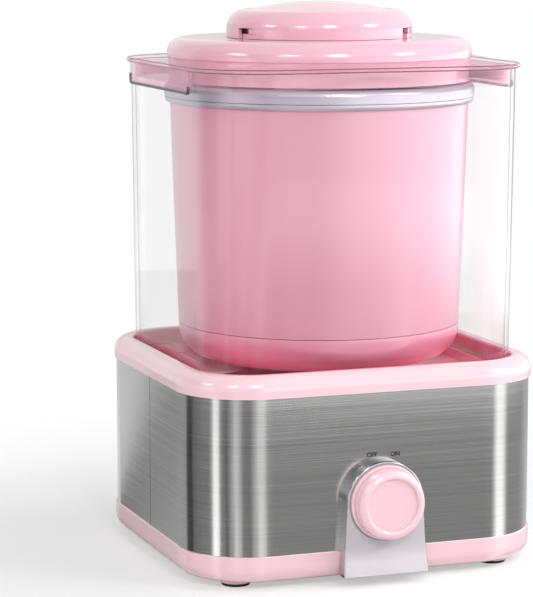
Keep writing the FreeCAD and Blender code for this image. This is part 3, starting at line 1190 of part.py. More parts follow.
def lid_dome():
    inner = BAND_RADIUS - DOME_WALL
    roof = DOME_TOP - DOME_WALL
    shoulder = DOME_RADIUS - DOME_ROUND
    shell = turned([
        (inner, BAND_BOTTOM), (BAND_RADIUS, BAND_BOTTOM), (BAND_RADIUS, DOME_SEAT), (DOME_RADIUS, DOME_SEAT),
        (DOME_RADIUS, DOME_TOP - DOME_ROUND),
        (shoulder, DOME_TOP, shoulder, DOME_TOP - DOME_ROUND),
        (NECK_RADIUS, DOME_TOP), (NECK_RADIUS, DOME_TOP + NECK_STEP), (NECK_TOP_RADIUS, DOME_TOP + NECK_STEP),
        (NECK_TOP_RADIUS, DOME_TOP + NECK_HEIGHT), (NECK_BORE, DOME_TOP + NECK_HEIGHT),
        (NECK_BORE, roof), (inner - DOME_INNER_ROUND, roof),
        (inner, roof - DOME_INNER_ROUND, inner - DOME_INNER_ROUND, roof - DOME_INNER_ROUND)])
    hub_low = DOME_TOP + SPIDER_ARM_HEIGHT - SPIDER_HUB_HEIGHT
    pieces = [shell, disc(SPIDER_HUB_RADIUS, hub_low, DOME_TOP + SPIDER_ARM_HEIGHT)]
    for arm in range(SPIDER_ARMS):
        reach = NECK_BORE + DOME_WALL / 2
        half = SPIDER_ARM_WIDTH / 2
        bar = box(0, reach, -half, half, DOME_TOP, DOME_TOP + SPIDER_ARM_HEIGHT)
        bar.rotate(CENTRE, UP, 360 / SPIDER_ARMS * arm)
        pieces.append(bar)
    lug_low = CAP_BOTTOM + SLOT_BAR + LUG_PLAY
    lug_high = CAP_BOTTOM + SLOT_TOP - LUG_PLAY
    snap_top = COVER_TOP - LUG_PLAY
    for slot in range(SLOT_COUNT):
        start = SLOT_FIRST_ANGLE + 360 / SLOT_COUNT * slot
        lug_start = start + SLOT_LENGTH_ANGLE - LUG_PLAY_ANGLE - LUG_ANGLE
        reach = CAP_RADIUS - LUG_PLAY
        pieces.append(sector(NECK_TOP_RADIUS - PASS, reach, lug_low, lug_high, lug_start, LUG_ANGLE))
        pieces.append(sector(BAND_RADIUS - PASS, LID_HOLE_RADIUS + LIP_PLAY, snap_top - SNAP_HEIGHT, snap_top,
                             start, SNAP_SWEEP))
    socket = hexagon(PADDLE_HEX + PADDLE_HEX_PLAY, hub_low - PASS, DOME_TOP)
    return carve(fuse(pieces), [socket])


def ingredient_cap():
    shoulder = CAP_RADIUS - CAP_ROUND
    edge = CAP_LEDGE - CAP_ROUND
    inner = CAP_RADIUS - CAP_WALL
    inner_round = CAP_ROUND - CAP_WALL
    sphere = (CAP_CROWN_RADIUS ** 2 + CAP_CROWN ** 2) / (2 * CAP_CROWN)
    dome_centre = CAP_TOP - sphere
    inner_sphere = sphere - CAP_WALL
    ceiling = CAP_LEDGE - CAP_WALL
    inner_crown = math.sqrt(inner_sphere ** 2 - (ceiling - dome_centre) ** 2)
    shell = turned([
        (inner, CAP_BOTTOM), (CAP_RADIUS, CAP_BOTTOM), (CAP_RADIUS, edge),
        (shoulder, CAP_LEDGE, shoulder, edge), (CAP_CROWN_RADIUS, CAP_LEDGE),
        (0, CAP_TOP, 0, dome_centre), (0, CAP_TOP - CAP_WALL),
        (inner_crown, ceiling, 0, dome_centre), (shoulder, ceiling),
        (inner, edge, shoulder, edge)])
    slots = []
    for slot in range(SLOT_COUNT):
        start = SLOT_FIRST_ANGLE + 360 / SLOT_COUNT * slot
        outside = CAP_RADIUS + PASS
        inside = inner - PASS
        high = CAP_BOTTOM + SLOT_TOP
        slots.append(sector(inside, outside, CAP_BOTTOM - PASS, high, start, SLOT_WIDTH_ANGLE))
        slots.append(sector(inside, outside, CAP_BOTTOM + SLOT_BAR, high, start, SLOT_LENGTH_ANGLE))
    return carve(shell, slots)


def paddle():
    """Central post, three cross bars, two wall scrapers and two stirring vanes."""
    low = BOWL_FLOOR + PADDLE_PLAY
    high = low + PADDLE_HEIGHT
    hub_low = DOME_TOP + SPIDER_ARM_HEIGHT - SPIDER_HUB_HEIGHT
    pieces = [disc(PADDLE_POST_RADIUS, low, hub_low - AXIAL_PLAY),
              hexagon(PADDLE_HEX, hub_low - AXIAL_PLAY, DOME_TOP - PADDLE_HEX_PLAY)]
    half_bar = PADDLE_BAR / 2
    half_blade = PADDLE_BLADE / 2
    low_reach = bowl_radius(low) - PADDLE_PLAY
    high_reach = bowl_radius(high) - PADDLE_PLAY
    corner = low + BOWL_ROUND
    corner_reach = low_reach - BOWL_ROUND
    inner_edge = low_reach - PADDLE_BLADE_WIDTH
    outline = [point(corner_reach, -half_blade, low), point(low_reach, -half_blade, corner),
               point(high_reach, -half_blade, high), point(inner_edge, -half_blade, high),
               point(inner_edge, -half_blade, corner), point(corner_reach, -half_blade, low + PADDLE_BAR)]
    blade = Part.Face(Part.makePolygon(outline + outline[:1])).extrude(point(0, PADDLE_BLADE, 0))
    vane_low = (low + high) / 2 - PADDLE_HEIGHT / 4
    vane_high = (low + high) / 2 + PADDLE_HEIGHT / 4
    vane = box(PADDLE_RING_RADIUS - half_bar, PADDLE_RING_RADIUS + half_bar, -half_blade, half_blade,
               vane_low, vane_high)
    for turn in (0, 180):
        scraper = blade.copy()
        scraper.rotate(CENTRE, UP, turn)
        pieces.append(scraper)
        for quarter in (0, 90):
            stirrer = vane.copy()
            stirrer.rotate(CENTRE, UP, turn + quarter)
            pieces.append(stirrer)
    bar_reach = inner_edge + PASS
    for height in (low + PADDLE_BAR, (low + high) / 2, high - PADDLE_BAR):
        pieces.append(box(-bar_reach, bar_reach, -half_bar, half_bar,
                          height - half_blade, height + half_blade))
    middle = (low + high) / 2
    pieces.append(ring(PADDLE_RING_RADIUS + half_blade, PADDLE_RING_RADIUS - half_blade,
                       middle - half_bar, middle + half_bar))
    corner_bar = box(-corner_reach - PASS, corner_reach + PASS, -half_bar, half_bar, low, low + PADDLE_BAR)
    pieces.append(corner_bar)
    return fuse(pieces)


PIECES = [
    base_tray, rubber_feet, base_screws, steel_front_wrap, steel_rear_wrap, seam_rivets, top_deck, cord_gland,
    control_plate, plate_screws, rotary_switch, switch_nut, knob_shaft, control_knob,
    gearbox_housing, gearbox_cover, gearbox_screws, idler_pin, idler_gear, output_gear, drive_shaft,
    shaft_circlip, lower_bush, upper_bush, thrust_washer, shaft_seal, drive_coupling,
    motor_can, motor_end_plate, motor_coil, motor_rotor, motor_shaft, motor_bushes, motor_screws,
    supply_lead, motor_lead,
    canister_shell, canister_bottom_cap, drive_socket, inner_bowl, rim_gasket, rim_clamp_ring, freezing_gel,
    clear_cover, clear_lid, lid_dome, ingredient_cap, paddle]

os.makedirs("parts", exist_ok=True)
for piece in PIECES:
    solid = piece()
    solid.translate(point(0, DEPTH_SHIFT, 0))
    solid.exportStep("parts/" + piece.__name__ + ".step")
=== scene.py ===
import json
import math

import bpy
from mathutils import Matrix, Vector


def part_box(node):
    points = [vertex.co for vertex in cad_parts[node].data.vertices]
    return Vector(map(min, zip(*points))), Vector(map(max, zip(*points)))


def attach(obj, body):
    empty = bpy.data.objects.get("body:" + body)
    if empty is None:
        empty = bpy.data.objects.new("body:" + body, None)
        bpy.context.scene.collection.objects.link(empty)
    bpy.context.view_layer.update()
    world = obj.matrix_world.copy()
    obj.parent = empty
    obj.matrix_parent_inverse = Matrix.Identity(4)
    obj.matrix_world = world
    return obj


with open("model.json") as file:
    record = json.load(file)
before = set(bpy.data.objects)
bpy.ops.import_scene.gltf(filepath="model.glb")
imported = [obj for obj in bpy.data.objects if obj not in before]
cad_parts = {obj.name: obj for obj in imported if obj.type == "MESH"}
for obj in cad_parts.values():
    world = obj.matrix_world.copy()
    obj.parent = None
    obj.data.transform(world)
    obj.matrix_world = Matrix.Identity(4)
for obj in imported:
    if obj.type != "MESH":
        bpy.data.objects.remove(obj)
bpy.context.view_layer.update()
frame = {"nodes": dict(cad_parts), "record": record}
QUARTER_TURN = math.radians(90)

# Camera, solved on the photograph and given from the canister's axis and the tray's underside
AXIS_Y = (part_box("canister_shell")[0][1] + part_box("canister_shell")[1][1]) / 2
FOOT_RISE = 0.004
CAMERA_PLACE = Vector((-0.5737, AXIS_Y - 1.4891, 0.3855 + FOOT_RISE))
CAMERA_YAW = math.radians(19.90)
CAMERA_PITCH = math.radians(8.31)
CAMERA_LENS = 155.02
CAMERA_SENSOR = 36.0

# Colours, as linear values
PINK = (0.89, 0.60, 0.655)
LID_PINK = (0.85, 0.475, 0.57)
# Deeper pink painted inside the deck's well as shade and bounced pink light
WELL_PAINTED_SHADE_PINK = (0.97, 0.29, 0.42)
CANISTER_PINK = (0.74, 0.285, 0.405)
LOWER_PINK = (0.82, 0.285, 0.42)
STEEL = (0.78, 0.775, 0.77)
SILVER = (0.64, 0.605, 0.63)
# Dark reflection painted into the control plate's colour over its arch
PAINTED_DARK_REFLECTION = (0.15, 0.145, 0.15)
RIM_METAL = (0.61, 0.555, 0.64)
CLEAR = (0.93, 0.935, 0.94)
# Dark line painted along the clear cover's edges where refraction shades them
CLEAR_PAINTED_RIM_SHADE = (0.22, 0.21, 0.22)
# Pink painted into the clear lid for the pink that its refraction shows of the dome behind it
LID_PAINTED_PINK_TINT = (0.93, 0.46, 0.60)
# Painted shade for the dark lines along the clear lid's edges
LID_PAINTED_EDGE_SHADE = (0.05, 0.025, 0.05)
BLACK = (0.018, 0.018, 0.019)
DARK_PLASTIC = (0.022, 0.022, 0.025)
WHITE_PLASTIC = (0.80, 0.80, 0.77)
GEL = (0.50, 0.66, 0.80)
PLAIN_STEEL = (0.52, 0.52, 0.53)
BRONZE = (0.50, 0.30, 0.11)
COPPER = (0.55, 0.22, 0.09)
FERRITE = (0.035, 0.035, 0.037)
PRINT_GREY = (0.008, 0.008, 0.009)
WHITE = (1.0, 1.0, 1.0)
FLOOR_GREY = (0.86, 0.86, 0.86)
WORLD_GREY = (0.86, 0.87, 0.88)

# Finishes of the moulded plastic
GLOSS = {"roughness": 0.20, "coat": 0.7, "coat_roughness": 0.04, "coat_ior": 1.5}
SATIN = {"roughness": 0.36, "coat": 1.0, "coat_roughness": 0.30, "coat_ior": 1.9}
PLASTIC_SPECULAR = 0.7

# Noise in the surfaces: scales, shares of the colour or the roughness at its two ends, and relief
EVEN = (1, 1, 1)
NOISE_BAND = (0.3, 0.7)
NOISE_DETAIL = 3.0
MOTTLE_SCALE = 18.0
MOTTLE_SHADES = (0.985, 1.01)
PEEL_SCALE = 700.0
PEEL_DETAIL = 1.0
PEEL_STRENGTH = 0.02
PEEL_DEPTH = 0.0003
SCRATCH_SCALE = 1.0
SCRATCH_DETAIL = 2.0
SCRATCH_SHINE = (0.85, 1.2)
SCRATCH_STRENGTH = 0.03
SCRATCH_DEPTH = 0.0002
WEAR_SHADES = (0.94, 1.04)
WEAR_SHINE = (0.85, 1.15)

# Brushing of the steel sheet and of the bowl's rim
SHEET_STRETCH = (6, 6, 3200)
SHEET_STREAKING = 0.4
SHEET_STREAK_TURN = 0.25
RIM_STRETCH = (5, 5, 500)

# Control plate: values for its front and its edges, and the turns of its surface between which they change,
# also for the dark reflection painted over its arch
PLATE_ROUGHNESS = (0.26, 0.06)
PLATE_METALLIC = (0.22, 1.0)
PLATE_EDGE_TURN = (-0.98, -0.80)
PLATE_ARCH_PAINTED_REFLECTION_TURN = (0.15, 0.75)
PLATE_CLOUD_SCALE = 40.0
PLATE_SHADES = (0.96, 1.03)

# Clear pieces: each pair is for a face seen straight on and one seen along its surface
FACING_BLEND = 0.5
COVER_ROUGHNESS = 0.04
COVER_VEIL = (0.02, 0.65)
COVER_VEIL_POWER = 4.0
COVER_PAINTED_RIM_FACING = (0.74, 0.92)
MOULDING_ROUGHNESS = 0.05
MOULDING_VEIL_POWER = 2.0
LID_VEIL = (0.15, 0.55)
LID_EDGE_VEIL = (0.70, 0.95)

# Well in the deck that the clear cover stands in; a deeper pink is painted inside it as shade and bounced
# pink light
WELL_HALF_X = 0.1016
WELL_HALF_Y = 0.0931
WELL_CORNER = 0.0331
WELL_FADE = 0.0012


# Materials

def new_material(name, colour, roughness, metallic=0.0):
    """Material with one principled shader; returns it with its node tree and shader."""
    material = bpy.data.materials.new(name)
    material.use_nodes = True
    shader = material.node_tree.nodes["Principled BSDF"]
    shader.inputs["Base Color"].default_value = (*colour, 1.0)
    shader.inputs["Roughness"].default_value = roughness
    shader.inputs["Metallic"].default_value = metallic
    return material, material.node_tree, shader


def grain(tree, scale, detail=NOISE_DETAIL, stretch=EVEN):
    """Noise in object space, stretched along the axes; returns its value socket."""
    place = tree.nodes.new("ShaderNodeTexCoord")
    mapping = tree.nodes.new("ShaderNodeMapping")
    mapping.inputs["Scale"].default_value = stretch
    noise = tree.nodes.new("ShaderNodeTexNoise")
    noise.inputs["Scale"].default_value = scale
    noise.inputs["Detail"].default_value = detail
    tree.links.new(place.outputs["Object"], mapping.inputs["Vector"])
    tree.links.new(mapping.outputs["Vector"], noise.inputs["Vector"])
    return noise.outputs["Fac"]


def map_range(tree, value, source=(0.0, 1.0), result=(0.0, 1.0), smooth=False):
    """Value carried from one span to another and held at its ends."""
    span = tree.nodes.new("ShaderNodeMapRange")
    if smooth:
        span.interpolation_type = "SMOOTHSTEP"
    span.inputs["From Min"].default_value = source[0]
    span.inputs["From Max"].default_value = source[1]
    span.inputs["To Min"].default_value = result[0]
    span.inputs["To Max"].default_value = result[1]
    tree.links.new(value, span.inputs["Value"])
    return span.outputs["Result"]


def combine(tree, operation, first, second):
    """Two value sockets joined by a math operation."""
    joined = tree.nodes.new("ShaderNodeMath")
    joined.operation = operation
    tree.links.new(first, joined.inputs[0])
    tree.links.new(second, joined.inputs[1])
    return joined.outputs["Value"]


def length_of(tree, vector):
    """Length of a vector socket."""
    length = tree.nodes.new("ShaderNodeVectorMath")
    length.operation = "LENGTH"
    tree.links.new(vector, length.inputs[0])
    return length.outputs["Value"]


def colour_ramp(tree, value, span, colours):
    """Colour that runs from one shade to another over a span of the value."""
    ramp = tree.nodes.new("ShaderNodeValToRGB")
    for stop, position, colour in zip(ramp.color_ramp.elements, span, colours):
        stop.position = position
        stop.color = (*colour, 1.0)
    tree.links.new(value, ramp.inputs["Fac"])
    return ramp.outputs["Color"]


def blend_colour(tree, factor, surface, other):
    """Colour of a socket that goes over to another colour as the factor grows."""
    mix = tree.nodes.new("ShaderNodeMix")
    mix.data_type = "RGBA"
    mix.inputs["B"].default_value = (*other, 1.0)
    tree.links.new(factor, mix.inputs["Factor"])
    tree.links.new(surface, mix.inputs["A"])
    return mix.outputs["Result"]


def shades(colour, shares):
    """Darker and lighter shade of a colour."""
    return [tuple(channel * share for channel in colour) for share in shares]


def relief(tree, shader, value, strength, depth):
    """Slight unevenness of the surface."""
    bump = tree.nodes.new("ShaderNodeBump")
    bump.inputs["Strength"].default_value = strength
    bump.inputs["Distance"].default_value = depth
    tree.links.new(value, bump.inputs["Height"])
    tree.links.new(bump.outputs["Normal"], shader.inputs["Normal"])


def uneven_shine(tree, shader, value, roughness, shares):
    """Roughness that varies with the value between two shares of itself."""
    ends = [roughness * share for share in shares]
    tree.links.new(map_range(tree, value, NOISE_BAND, ends), shader.inputs["Roughness"])


def uneven_colour(tree, shader, value, colour, shares):
    """Colour that varies with the value between two of its shades."""
    varied = colour_ramp(tree, value, NOISE_BAND, shades(colour, shares))
    tree.links.new(varied, shader.inputs["Base Color"])


def moulded_plastic(name, colour, roughness, coat, coat_roughness, coat_ior):
    """Moulded plastic: a faint mottle in the colour and a slight orange peel."""
    material, tree, shader = new_material(name, colour, roughness)
    uneven_colour(tree, shader, grain(tree, MOTTLE_SCALE), colour, MOTTLE_SHADES)
    relief(tree, shader, grain(tree, PEEL_SCALE, PEEL_DETAIL), PEEL_STRENGTH, PEEL_DEPTH)
    shader.inputs["Specular IOR Level"].default_value = PLASTIC_SPECULAR
    shader.inputs["Coat Weight"].default_value = coat
    shader.inputs["Coat Roughness"].default_value = coat_roughness
    shader.inputs["Coat IOR"].default_value = coat_ior
    return material


def well_plastic_painted_shade(name):
    """Moulded plastic of the deck, with a deeper pink painted inside the well as shade and the pink light its
    faces bounce to each other.
    """
    material = moulded_plastic(name, PINK, **GLOSS)
    tree = material.node_tree
    shader = tree.nodes["Principled BSDF"]
    outside = shader.inputs["Base Color"].links[0].from_socket
    vector = tree.nodes.new("ShaderNodeTexCoord").outputs["Object"]
    straight = (WELL_HALF_X - WELL_CORNER, WELL_HALF_Y - WELL_CORNER, 1.0)
    for operation, operand in (("SUBTRACT", (0, AXIS_Y, 0)), ("ABSOLUTE", None), ("SUBTRACT", straight),
                               ("MAXIMUM", (0, 0, 0))):
        step = tree.nodes.new("ShaderNodeVectorMath")
        step.operation = operation
        tree.links.new(vector, step.inputs[0])
        if operand:
            step.inputs[1].default_value = operand
        vector = step.outputs["Vector"]
    # Mask of the well's inside, where the painted shade goes
    inside = map_range(tree, length_of(tree, vector), (WELL_CORNER + WELL_FADE, WELL_CORNER))
    tree.links.new(blend_colour(tree, inside, outside, WELL_PAINTED_SHADE_PINK), shader.inputs["Base Color"])
    return material


def brushed_metal(name, colour, roughness, metallic, stretch, contrast):
    """Metal with fine scratches along its brushing direction."""
    material, tree, shader = new_material(name, colour, roughness, metallic)
    scratch = grain(tree, SCRATCH_SCALE, SCRATCH_DETAIL, stretch)
    uneven_colour(tree, shader, scratch, colour, (1.0 - contrast, 1.0 + contrast / 2))
    uneven_shine(tree, shader, scratch, roughness, SCRATCH_SHINE)
    relief(tree, shader, scratch, SCRATCH_STRENGTH, SCRATCH_DEPTH)
    return material


def wrapped_sheet(name, colour, roughness, stretch, contrast):
    """Sheet brushed round the base, so its shine stretches up and down."""
    material = brushed_metal(name, colour, roughness, 1.0, stretch, contrast)
    tree = material.node_tree
    shader = tree.nodes["Principled BSDF"]
    around = tree.nodes.new("ShaderNodeTangent")
    around.direction_type = "RADIAL"
    around.axis = "Z"
    tree.links.new(around.outputs["Tangent"], shader.inputs["Tangent"])
    shader.inputs["Anisotropic"].default_value = SHEET_STREAKING
    shader.inputs["Anisotropic Rotation"].default_value = SHEET_STREAK_TURN
    return material


def polished_plate(name):
    """Satin plate front with mirror-bright edges, and a dark reflection painted into its colour over the
    arch.
    """
    material, tree, shader = new_material(name, SILVER, PLATE_ROUGHNESS[0])
    place = tree.nodes.new("ShaderNodeTexCoord")
    turn = tree.nodes.new("ShaderNodeSeparateXYZ")
    tree.links.new(place.outputs["Normal"], turn.inputs["Vector"])
    for socket, ends in (("Metallic", PLATE_METALLIC), ("Roughness", PLATE_ROUGHNESS)):
        tree.links.new(map_range(tree, turn.outputs["Y"], PLATE_EDGE_TURN, ends), shader.inputs[socket])
    cloud = grain(tree, PLATE_CLOUD_SCALE)
    front = colour_ramp(tree, cloud, NOISE_BAND, shades(SILVER, PLATE_SHADES))
    # Painted dark reflection over the arch
    arch = map_range(tree, turn.outputs["Z"], PLATE_ARCH_PAINTED_REFLECTION_TURN)
    tree.links.new(blend_colour(tree, arch, front, PAINTED_DARK_REFLECTION), shader.inputs["Base Color"])
    return material


def facing_away(tree):
    """Value from 0 on a face seen straight on to 1 on one seen along its surface."""
    weight = tree.nodes.new("ShaderNodeLayerWeight")
    weight.inputs["Blend"].default_value = FACING_BLEND
    return weight.outputs["Facing"]


def veil(tree, shader, power, ends):
    """Opacity that grows from a face seen straight on to one seen along its surface."""
    bend = tree.nodes.new("ShaderNodeMath")
    bend.operation = "POWER"
    bend.inputs[1].default_value = power
    tree.links.new(facing_away(tree), bend.inputs[0])
    shader.inputs["Alpha"].default_value = ends[0]
    tree.links.new(map_range(tree, bend.outputs["Value"], result=ends), shader.inputs["Alpha"])


def clear_sheet(name):
    """Thin clear wall: open where seen straight on, mirroring towards its edges, with a dark line painted
    along them as the shade of refraction.
    """
    material, tree, shader = new_material(name, CLEAR, COVER_ROUGHNESS, 1.0)
    veil(tree, shader, COVER_VEIL_POWER, COVER_VEIL)
    # Painted shade along the edges, by how far the face turns away
    edge = colour_ramp(tree, facing_away(tree), COVER_PAINTED_RIM_FACING, (CLEAR, CLEAR_PAINTED_RIM_SHADE))
    tree.links.new(edge, shader.inputs["Base Color"])
    return material


def clear_moulding(name, colour, ends):
    """Thick clear moulding with a colour painted into it for what its refraction shows of the parts behind
    it.
    """
    material, tree, shader = new_material(name, colour, MOULDING_ROUGHNESS)
    veil(tree, shader, MOULDING_VEIL_POWER, ends)
    return material


def worn_surface(name, colour, roughness, metallic, scale):
    """Plain inner material with a little unevenness in its shine."""
    material, tree, shader = new_material(name, colour, roughness, metallic)
    patches = grain(tree, scale)
    uneven_shine(tree, shader, patches, roughness, WEAR_SHINE)
    uneven_colour(tree, shader, patches, colour, WEAR_SHADES)
    return material


MATERIALS = {
    "pink_gloss": moulded_plastic("pink_gloss", PINK, **GLOSS),
    "canister_pink": moulded_plastic("canister_pink", CANISTER_PINK, **SATIN),
    "brushed_steel": wrapped_sheet("brushed_steel", STEEL, roughness=0.15, stretch=SHEET_STRETCH,
                                   contrast=0.10),
    "silver": polished_plate("silver"),
    "clear": clear_sheet("clear"),
    "bowl_metal": brushed_metal("bowl_metal", RIM_METAL, roughness=0.34, metallic=0.6, stretch=RIM_STRETCH,
                                contrast=0.06),
    "foot_rubber": worn_surface("foot_rubber", BLACK, roughness=0.75, metallic=0.0, scale=200.0),
    "white_plastic": worn_surface("white_plastic", WHITE_PLASTIC, roughness=0.45, metallic=0.0, scale=60.0),
    "dark_plastic": worn_surface("dark_plastic", DARK_PLASTIC, roughness=0.5, metallic=0.0, scale=150.0),
    "gel": worn_surface("gel", GEL, roughness=0.3, metallic=0.0, scale=40.0),
    "plain_steel": worn_surface("plain_steel", PLAIN_STEEL, roughness=0.3, metallic=1.0, scale=120.0),
    "bronze": worn_surface("bronze", BRONZE, roughness=0.4, metallic=1.0, scale=120.0),
    "copper": worn_surface("copper", COPPER, roughness=0.35, metallic=1.0, scale=120.0),
    "magnet": worn_surface("magnet", FERRITE, roughness=0.6, metallic=0.0, scale=120.0),
}
for entry in frame["record"]["subparts"]:
    node = frame["nodes"][entry["node"]]
    node.data.materials.clear()
    node.data.materials.append(MATERIALS[entry["material_slot"]])

# Pieces whose colour differs from the rest of their slot; the deck's well and the clear lid carry painted
# light
lid_pink = moulded_plastic("lid_pink", LID_PINK, **GLOSS)
OWN_MATERIALS = {
    "lid_dome": lid_pink,
    "ingredient_cap": lid_pink,
    "canister_bottom_cap": moulded_plastic("lower_pink", LOWER_PINK, **SATIN),
    "top_deck": well_plastic_painted_shade("well_plastic_painted_shade"),
    "clear_lid": clear_moulding("clear_lid", LID_PAINTED_PINK_TINT, LID_VEIL),
}
for name, material in OWN_MATERIALS.items():
    frame["nodes"][name].data.materials[0] = material


def add_object(name, data):
    """Object with the given data, linked into the scene."""
    item = bpy.data.objects.new(name, data)
    bpy.context.scene.collection.objects.link(item)
    return item


# Dark lines painted along the clear lid's edges, standing in for the shade that refraction gives there

LID_LOW, LID_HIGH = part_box("clear_lid")
LID_HALF_Y = (LID_HIGH[1] - LID_LOW[1]) / 2
LID_CORNER = 0.0451
FLANGE_LEVEL = 0.3032
FLANGE_THICK = 0.0030
EDGE_INSET = 0.0009
EDGE_RADIUS = 0.00035
EDGE_ROUNDING = 2
GRIP_ROUND = 0.0030
GRIP_EDGE_RADIUS = 0.0010
GRIP_FRONT_RISE = 2
GRIP_REAR_RISE = 3
CORNER_STEPS = 10
painted_edge_shade = clear_moulding("lid_edge_painted_shade", LID_PAINTED_EDGE_SHADE, LID_EDGE_VEIL)


def painted_shade_line(name, points, radius, closed):
    """Thin round line through the points, painted dark as the shade along the lid's edge; it lifts with the
    lid.
    """
    curve = bpy.data.curves.new(name, "CURVE")
    curve.dimensions = "3D"
    curve.bevel_depth = radius
    curve.bevel_resolution = EDGE_ROUNDING
    curve.use_fill_caps = True
    line = curve.splines.new("POLY")
    line.points.add(len(points) - 1)
    for spot, place in zip(line.points, points):
        spot.co = (*place, 1.0)
    line.use_cyclic_u = closed
    curve.materials.append(painted_edge_shade)
    tube = add_object(name, curve)
    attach(tube, "lid")


def flange_outline(level):
    """Outline of the lid's flange at one level, just inside its rounded edge."""
    half_x = LID_HIGH[0] - EDGE_INSET
    half_y = LID_HALF_Y - EDGE_INSET
    radius = LID_CORNER - EDGE_INSET
    points = []
    for quarter, (side_x, side_y) in enumerate(((1, 1), (-1, 1), (-1, -1), (1, -1))):
        for step in range(CORNER_STEPS + 1):
            angle = QUARTER_TURN * (quarter + step / CORNER_STEPS)
            points.append((side_x * (half_x - radius) + radius * math.cos(angle),
                           AXIS_Y + side_y * (half_y - radius) + radius * math.sin(angle), level))
    return points


def grip_outline(x):
    """Line along the lower edge of a grip, up round both of its corners."""
    low = LID_LOW[2] + GRIP_EDGE_RADIUS / 2
    end = LID_HALF_Y - LID_CORNER - GRIP_EDGE_RADIUS
    bend = GRIP_ROUND - GRIP_EDGE_RADIUS
    points = [(x, AXIS_Y - end, low + GRIP_FRONT_RISE * bend)]
    for side in (-1, 1):
        for step in range(CORNER_STEPS + 1):
            angle = QUARTER_TURN * step / CORNER_STEPS
            if side > 0:
                angle = QUARTER_TURN - angle
            points.append((x, AXIS_Y + side * (end - bend + bend * math.cos(angle)),
                           low + bend - bend * math.sin(angle)))
    points.append((x, AXIS_Y + end, low + GRIP_REAR_RISE * bend))
    return points


flange_top = FLANGE_LEVEL + FLANGE_THICK
painted_shade_line("flange_upper_painted_shade", flange_outline(flange_top - EDGE_INSET / 2), EDGE_RADIUS, True)
painted_shade_line("flange_lower_painted_shade", flange_outline(FLANGE_LEVEL + EDGE_INSET / 2), EDGE_RADIUS, True)
painted_shade_line("left_grip_painted_shade", grip_outline(LID_LOW[0] + GRIP_EDGE_RADIUS / 2), GRIP_EDGE_RADIUS, False)
painted_shade_line("right_grip_painted_shade", grip_outline(LID_HIGH[0] - GRIP_EDGE_RADIUS / 2), GRIP_EDGE_RADIUS, False)


# Switch words printed on the steel above the knob

STEEL_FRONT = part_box("steel_front_wrap")[0][1]
PRINT_LIFT = 0.0001
PRINT_HEIGHT = 0.0027
PRINT_FONT_RATIO = 0.70
PRINT_WEIGHT = 0.00011
PRINT_ROUGHNESS = 0.5
print_ink = new_material("print_ink", PRINT_GREY, PRINT_ROUGHNESS)[0]


def printed_word(name, word, x, z):
    """Word in a thin layer of ink, with its middle at the given place on the steel."""
    curve = bpy.data.curves.new(name, "FONT")
    curve.body = word
    curve.size = PRINT_HEIGHT / PRINT_FONT_RATIO
    curve.align_x = "CENTER"
    curve.align_y = "CENTER"
    curve.extrude = PRINT_LIFT / 2
    curve.offset = PRINT_WEIGHT
    curve.materials.append(print_ink)
    label = add_object(name, curve)
    label.location = (x, STEEL_FRONT - PRINT_LIFT / 2, z)
    label.rotation_euler = (QUARTER_TURN, 0, 0)
    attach(label, "base")


printed_word("print_off", "OFF", x=-0.0057, z=0.0773)
printed_word("print_on", "ON", x=0.0091, z=0.0769)


# Floor, light and camera

MIDDLE = Vector((0.0, AXIS_Y, 0.17))
LAMP_SIZE = (0.4, 0.3)
FLOOR_REACH = 6.0
FLOOR_ROUGHNESS = 0.9
FLOOR_FADE_SPAN = (0.15, 0.50)
FLOOR_FADE = (0.45, 1.0)
WORLD_LEVELS = (0.47, 0.85)

# Bands of grey that the steel shows, by the way it faces, in degrees to the right of straight in front
LEFT_BANDS = (
    (-90, 0.34), (-77, 0.34), (-74.5, 0.06), (-69.5, 0.04), (-66.5, 0.16), (-58, 0.20), (-51, 0.18),
    (-48.5, 0.45), (-47, 1.20), (-43.5, 1.20), (-41.5, 0.25), (-36.5, 0.09), (-33.8, 0.26), (-29.3, 0.72),
    (-27, 0.58), (-23.5, 0.20), (-18, 0.16), (-15.3, 0.38), (-10.7, 0.76), (-7, 0.68), (-4.2, 0.26),
    (-2, 0.22), (0, 0.21))
RIGHT_BANDS = (
    (0, 0.21), (5.5, 0.24), (7.5, 0.60), (10, 1.20), (15.5, 1.15), (18, 0.65), (20.5, 0.25), (37, 0.29),
    (45, 0.45), (54, 0.55), (85, 0.60))
LEFT_WALL_FACING = -90
LEFT_WALL_GREY = 0.20
STEEL_CORNER = 0.044
LEFT_VIEW = 20.0
RIGHT_VIEW = 25.0

# Rings of the floor cloth: radius, share of the band's grey, share of the far floor's glow
COVE_RINGS = ((0.0, 1.15, 0.0), (0.35, 1.0, 0.0), (0.72, 0.80, 0.0), (1.0, 0.40, 0.9), (1.8, 0.0, 1.0))
COVE_LIFT = 0.0005
COVE_LAYER = "shade"

# Glow of the far floor by direction, in degrees to the right of straight in front
FAR_GLOW = (
    (-180, 0.85), (-130, 0.85), (-125, 0.5), (-10, 0.6), (10, 2.2), (30, 2.7), (105, 2.4), (135, 0.6),
    (200, 0.6))

# Lower and upper edge of the screens round the studio: radius and height
NEAR_SCREEN = ((1.3, COVE_LIFT), (1.3, 0.45))
SHADE_SCREEN = ((1.8, COVE_LIFT), (1.8, 1.4))
BACK_SCREEN = ((1.8, 0.45), (1.8, 2.0))
SCREEN_STEPS = 12


def background_rays(tree):
    """Value of 1 for the rays that show the background: seen straight or through clear parts."""
    path = tree.nodes.new("ShaderNodeLightPath")
    return combine(tree, "MAXIMUM", path.outputs["Is Camera Ray"], path.outputs["Is Transmission Ray"])


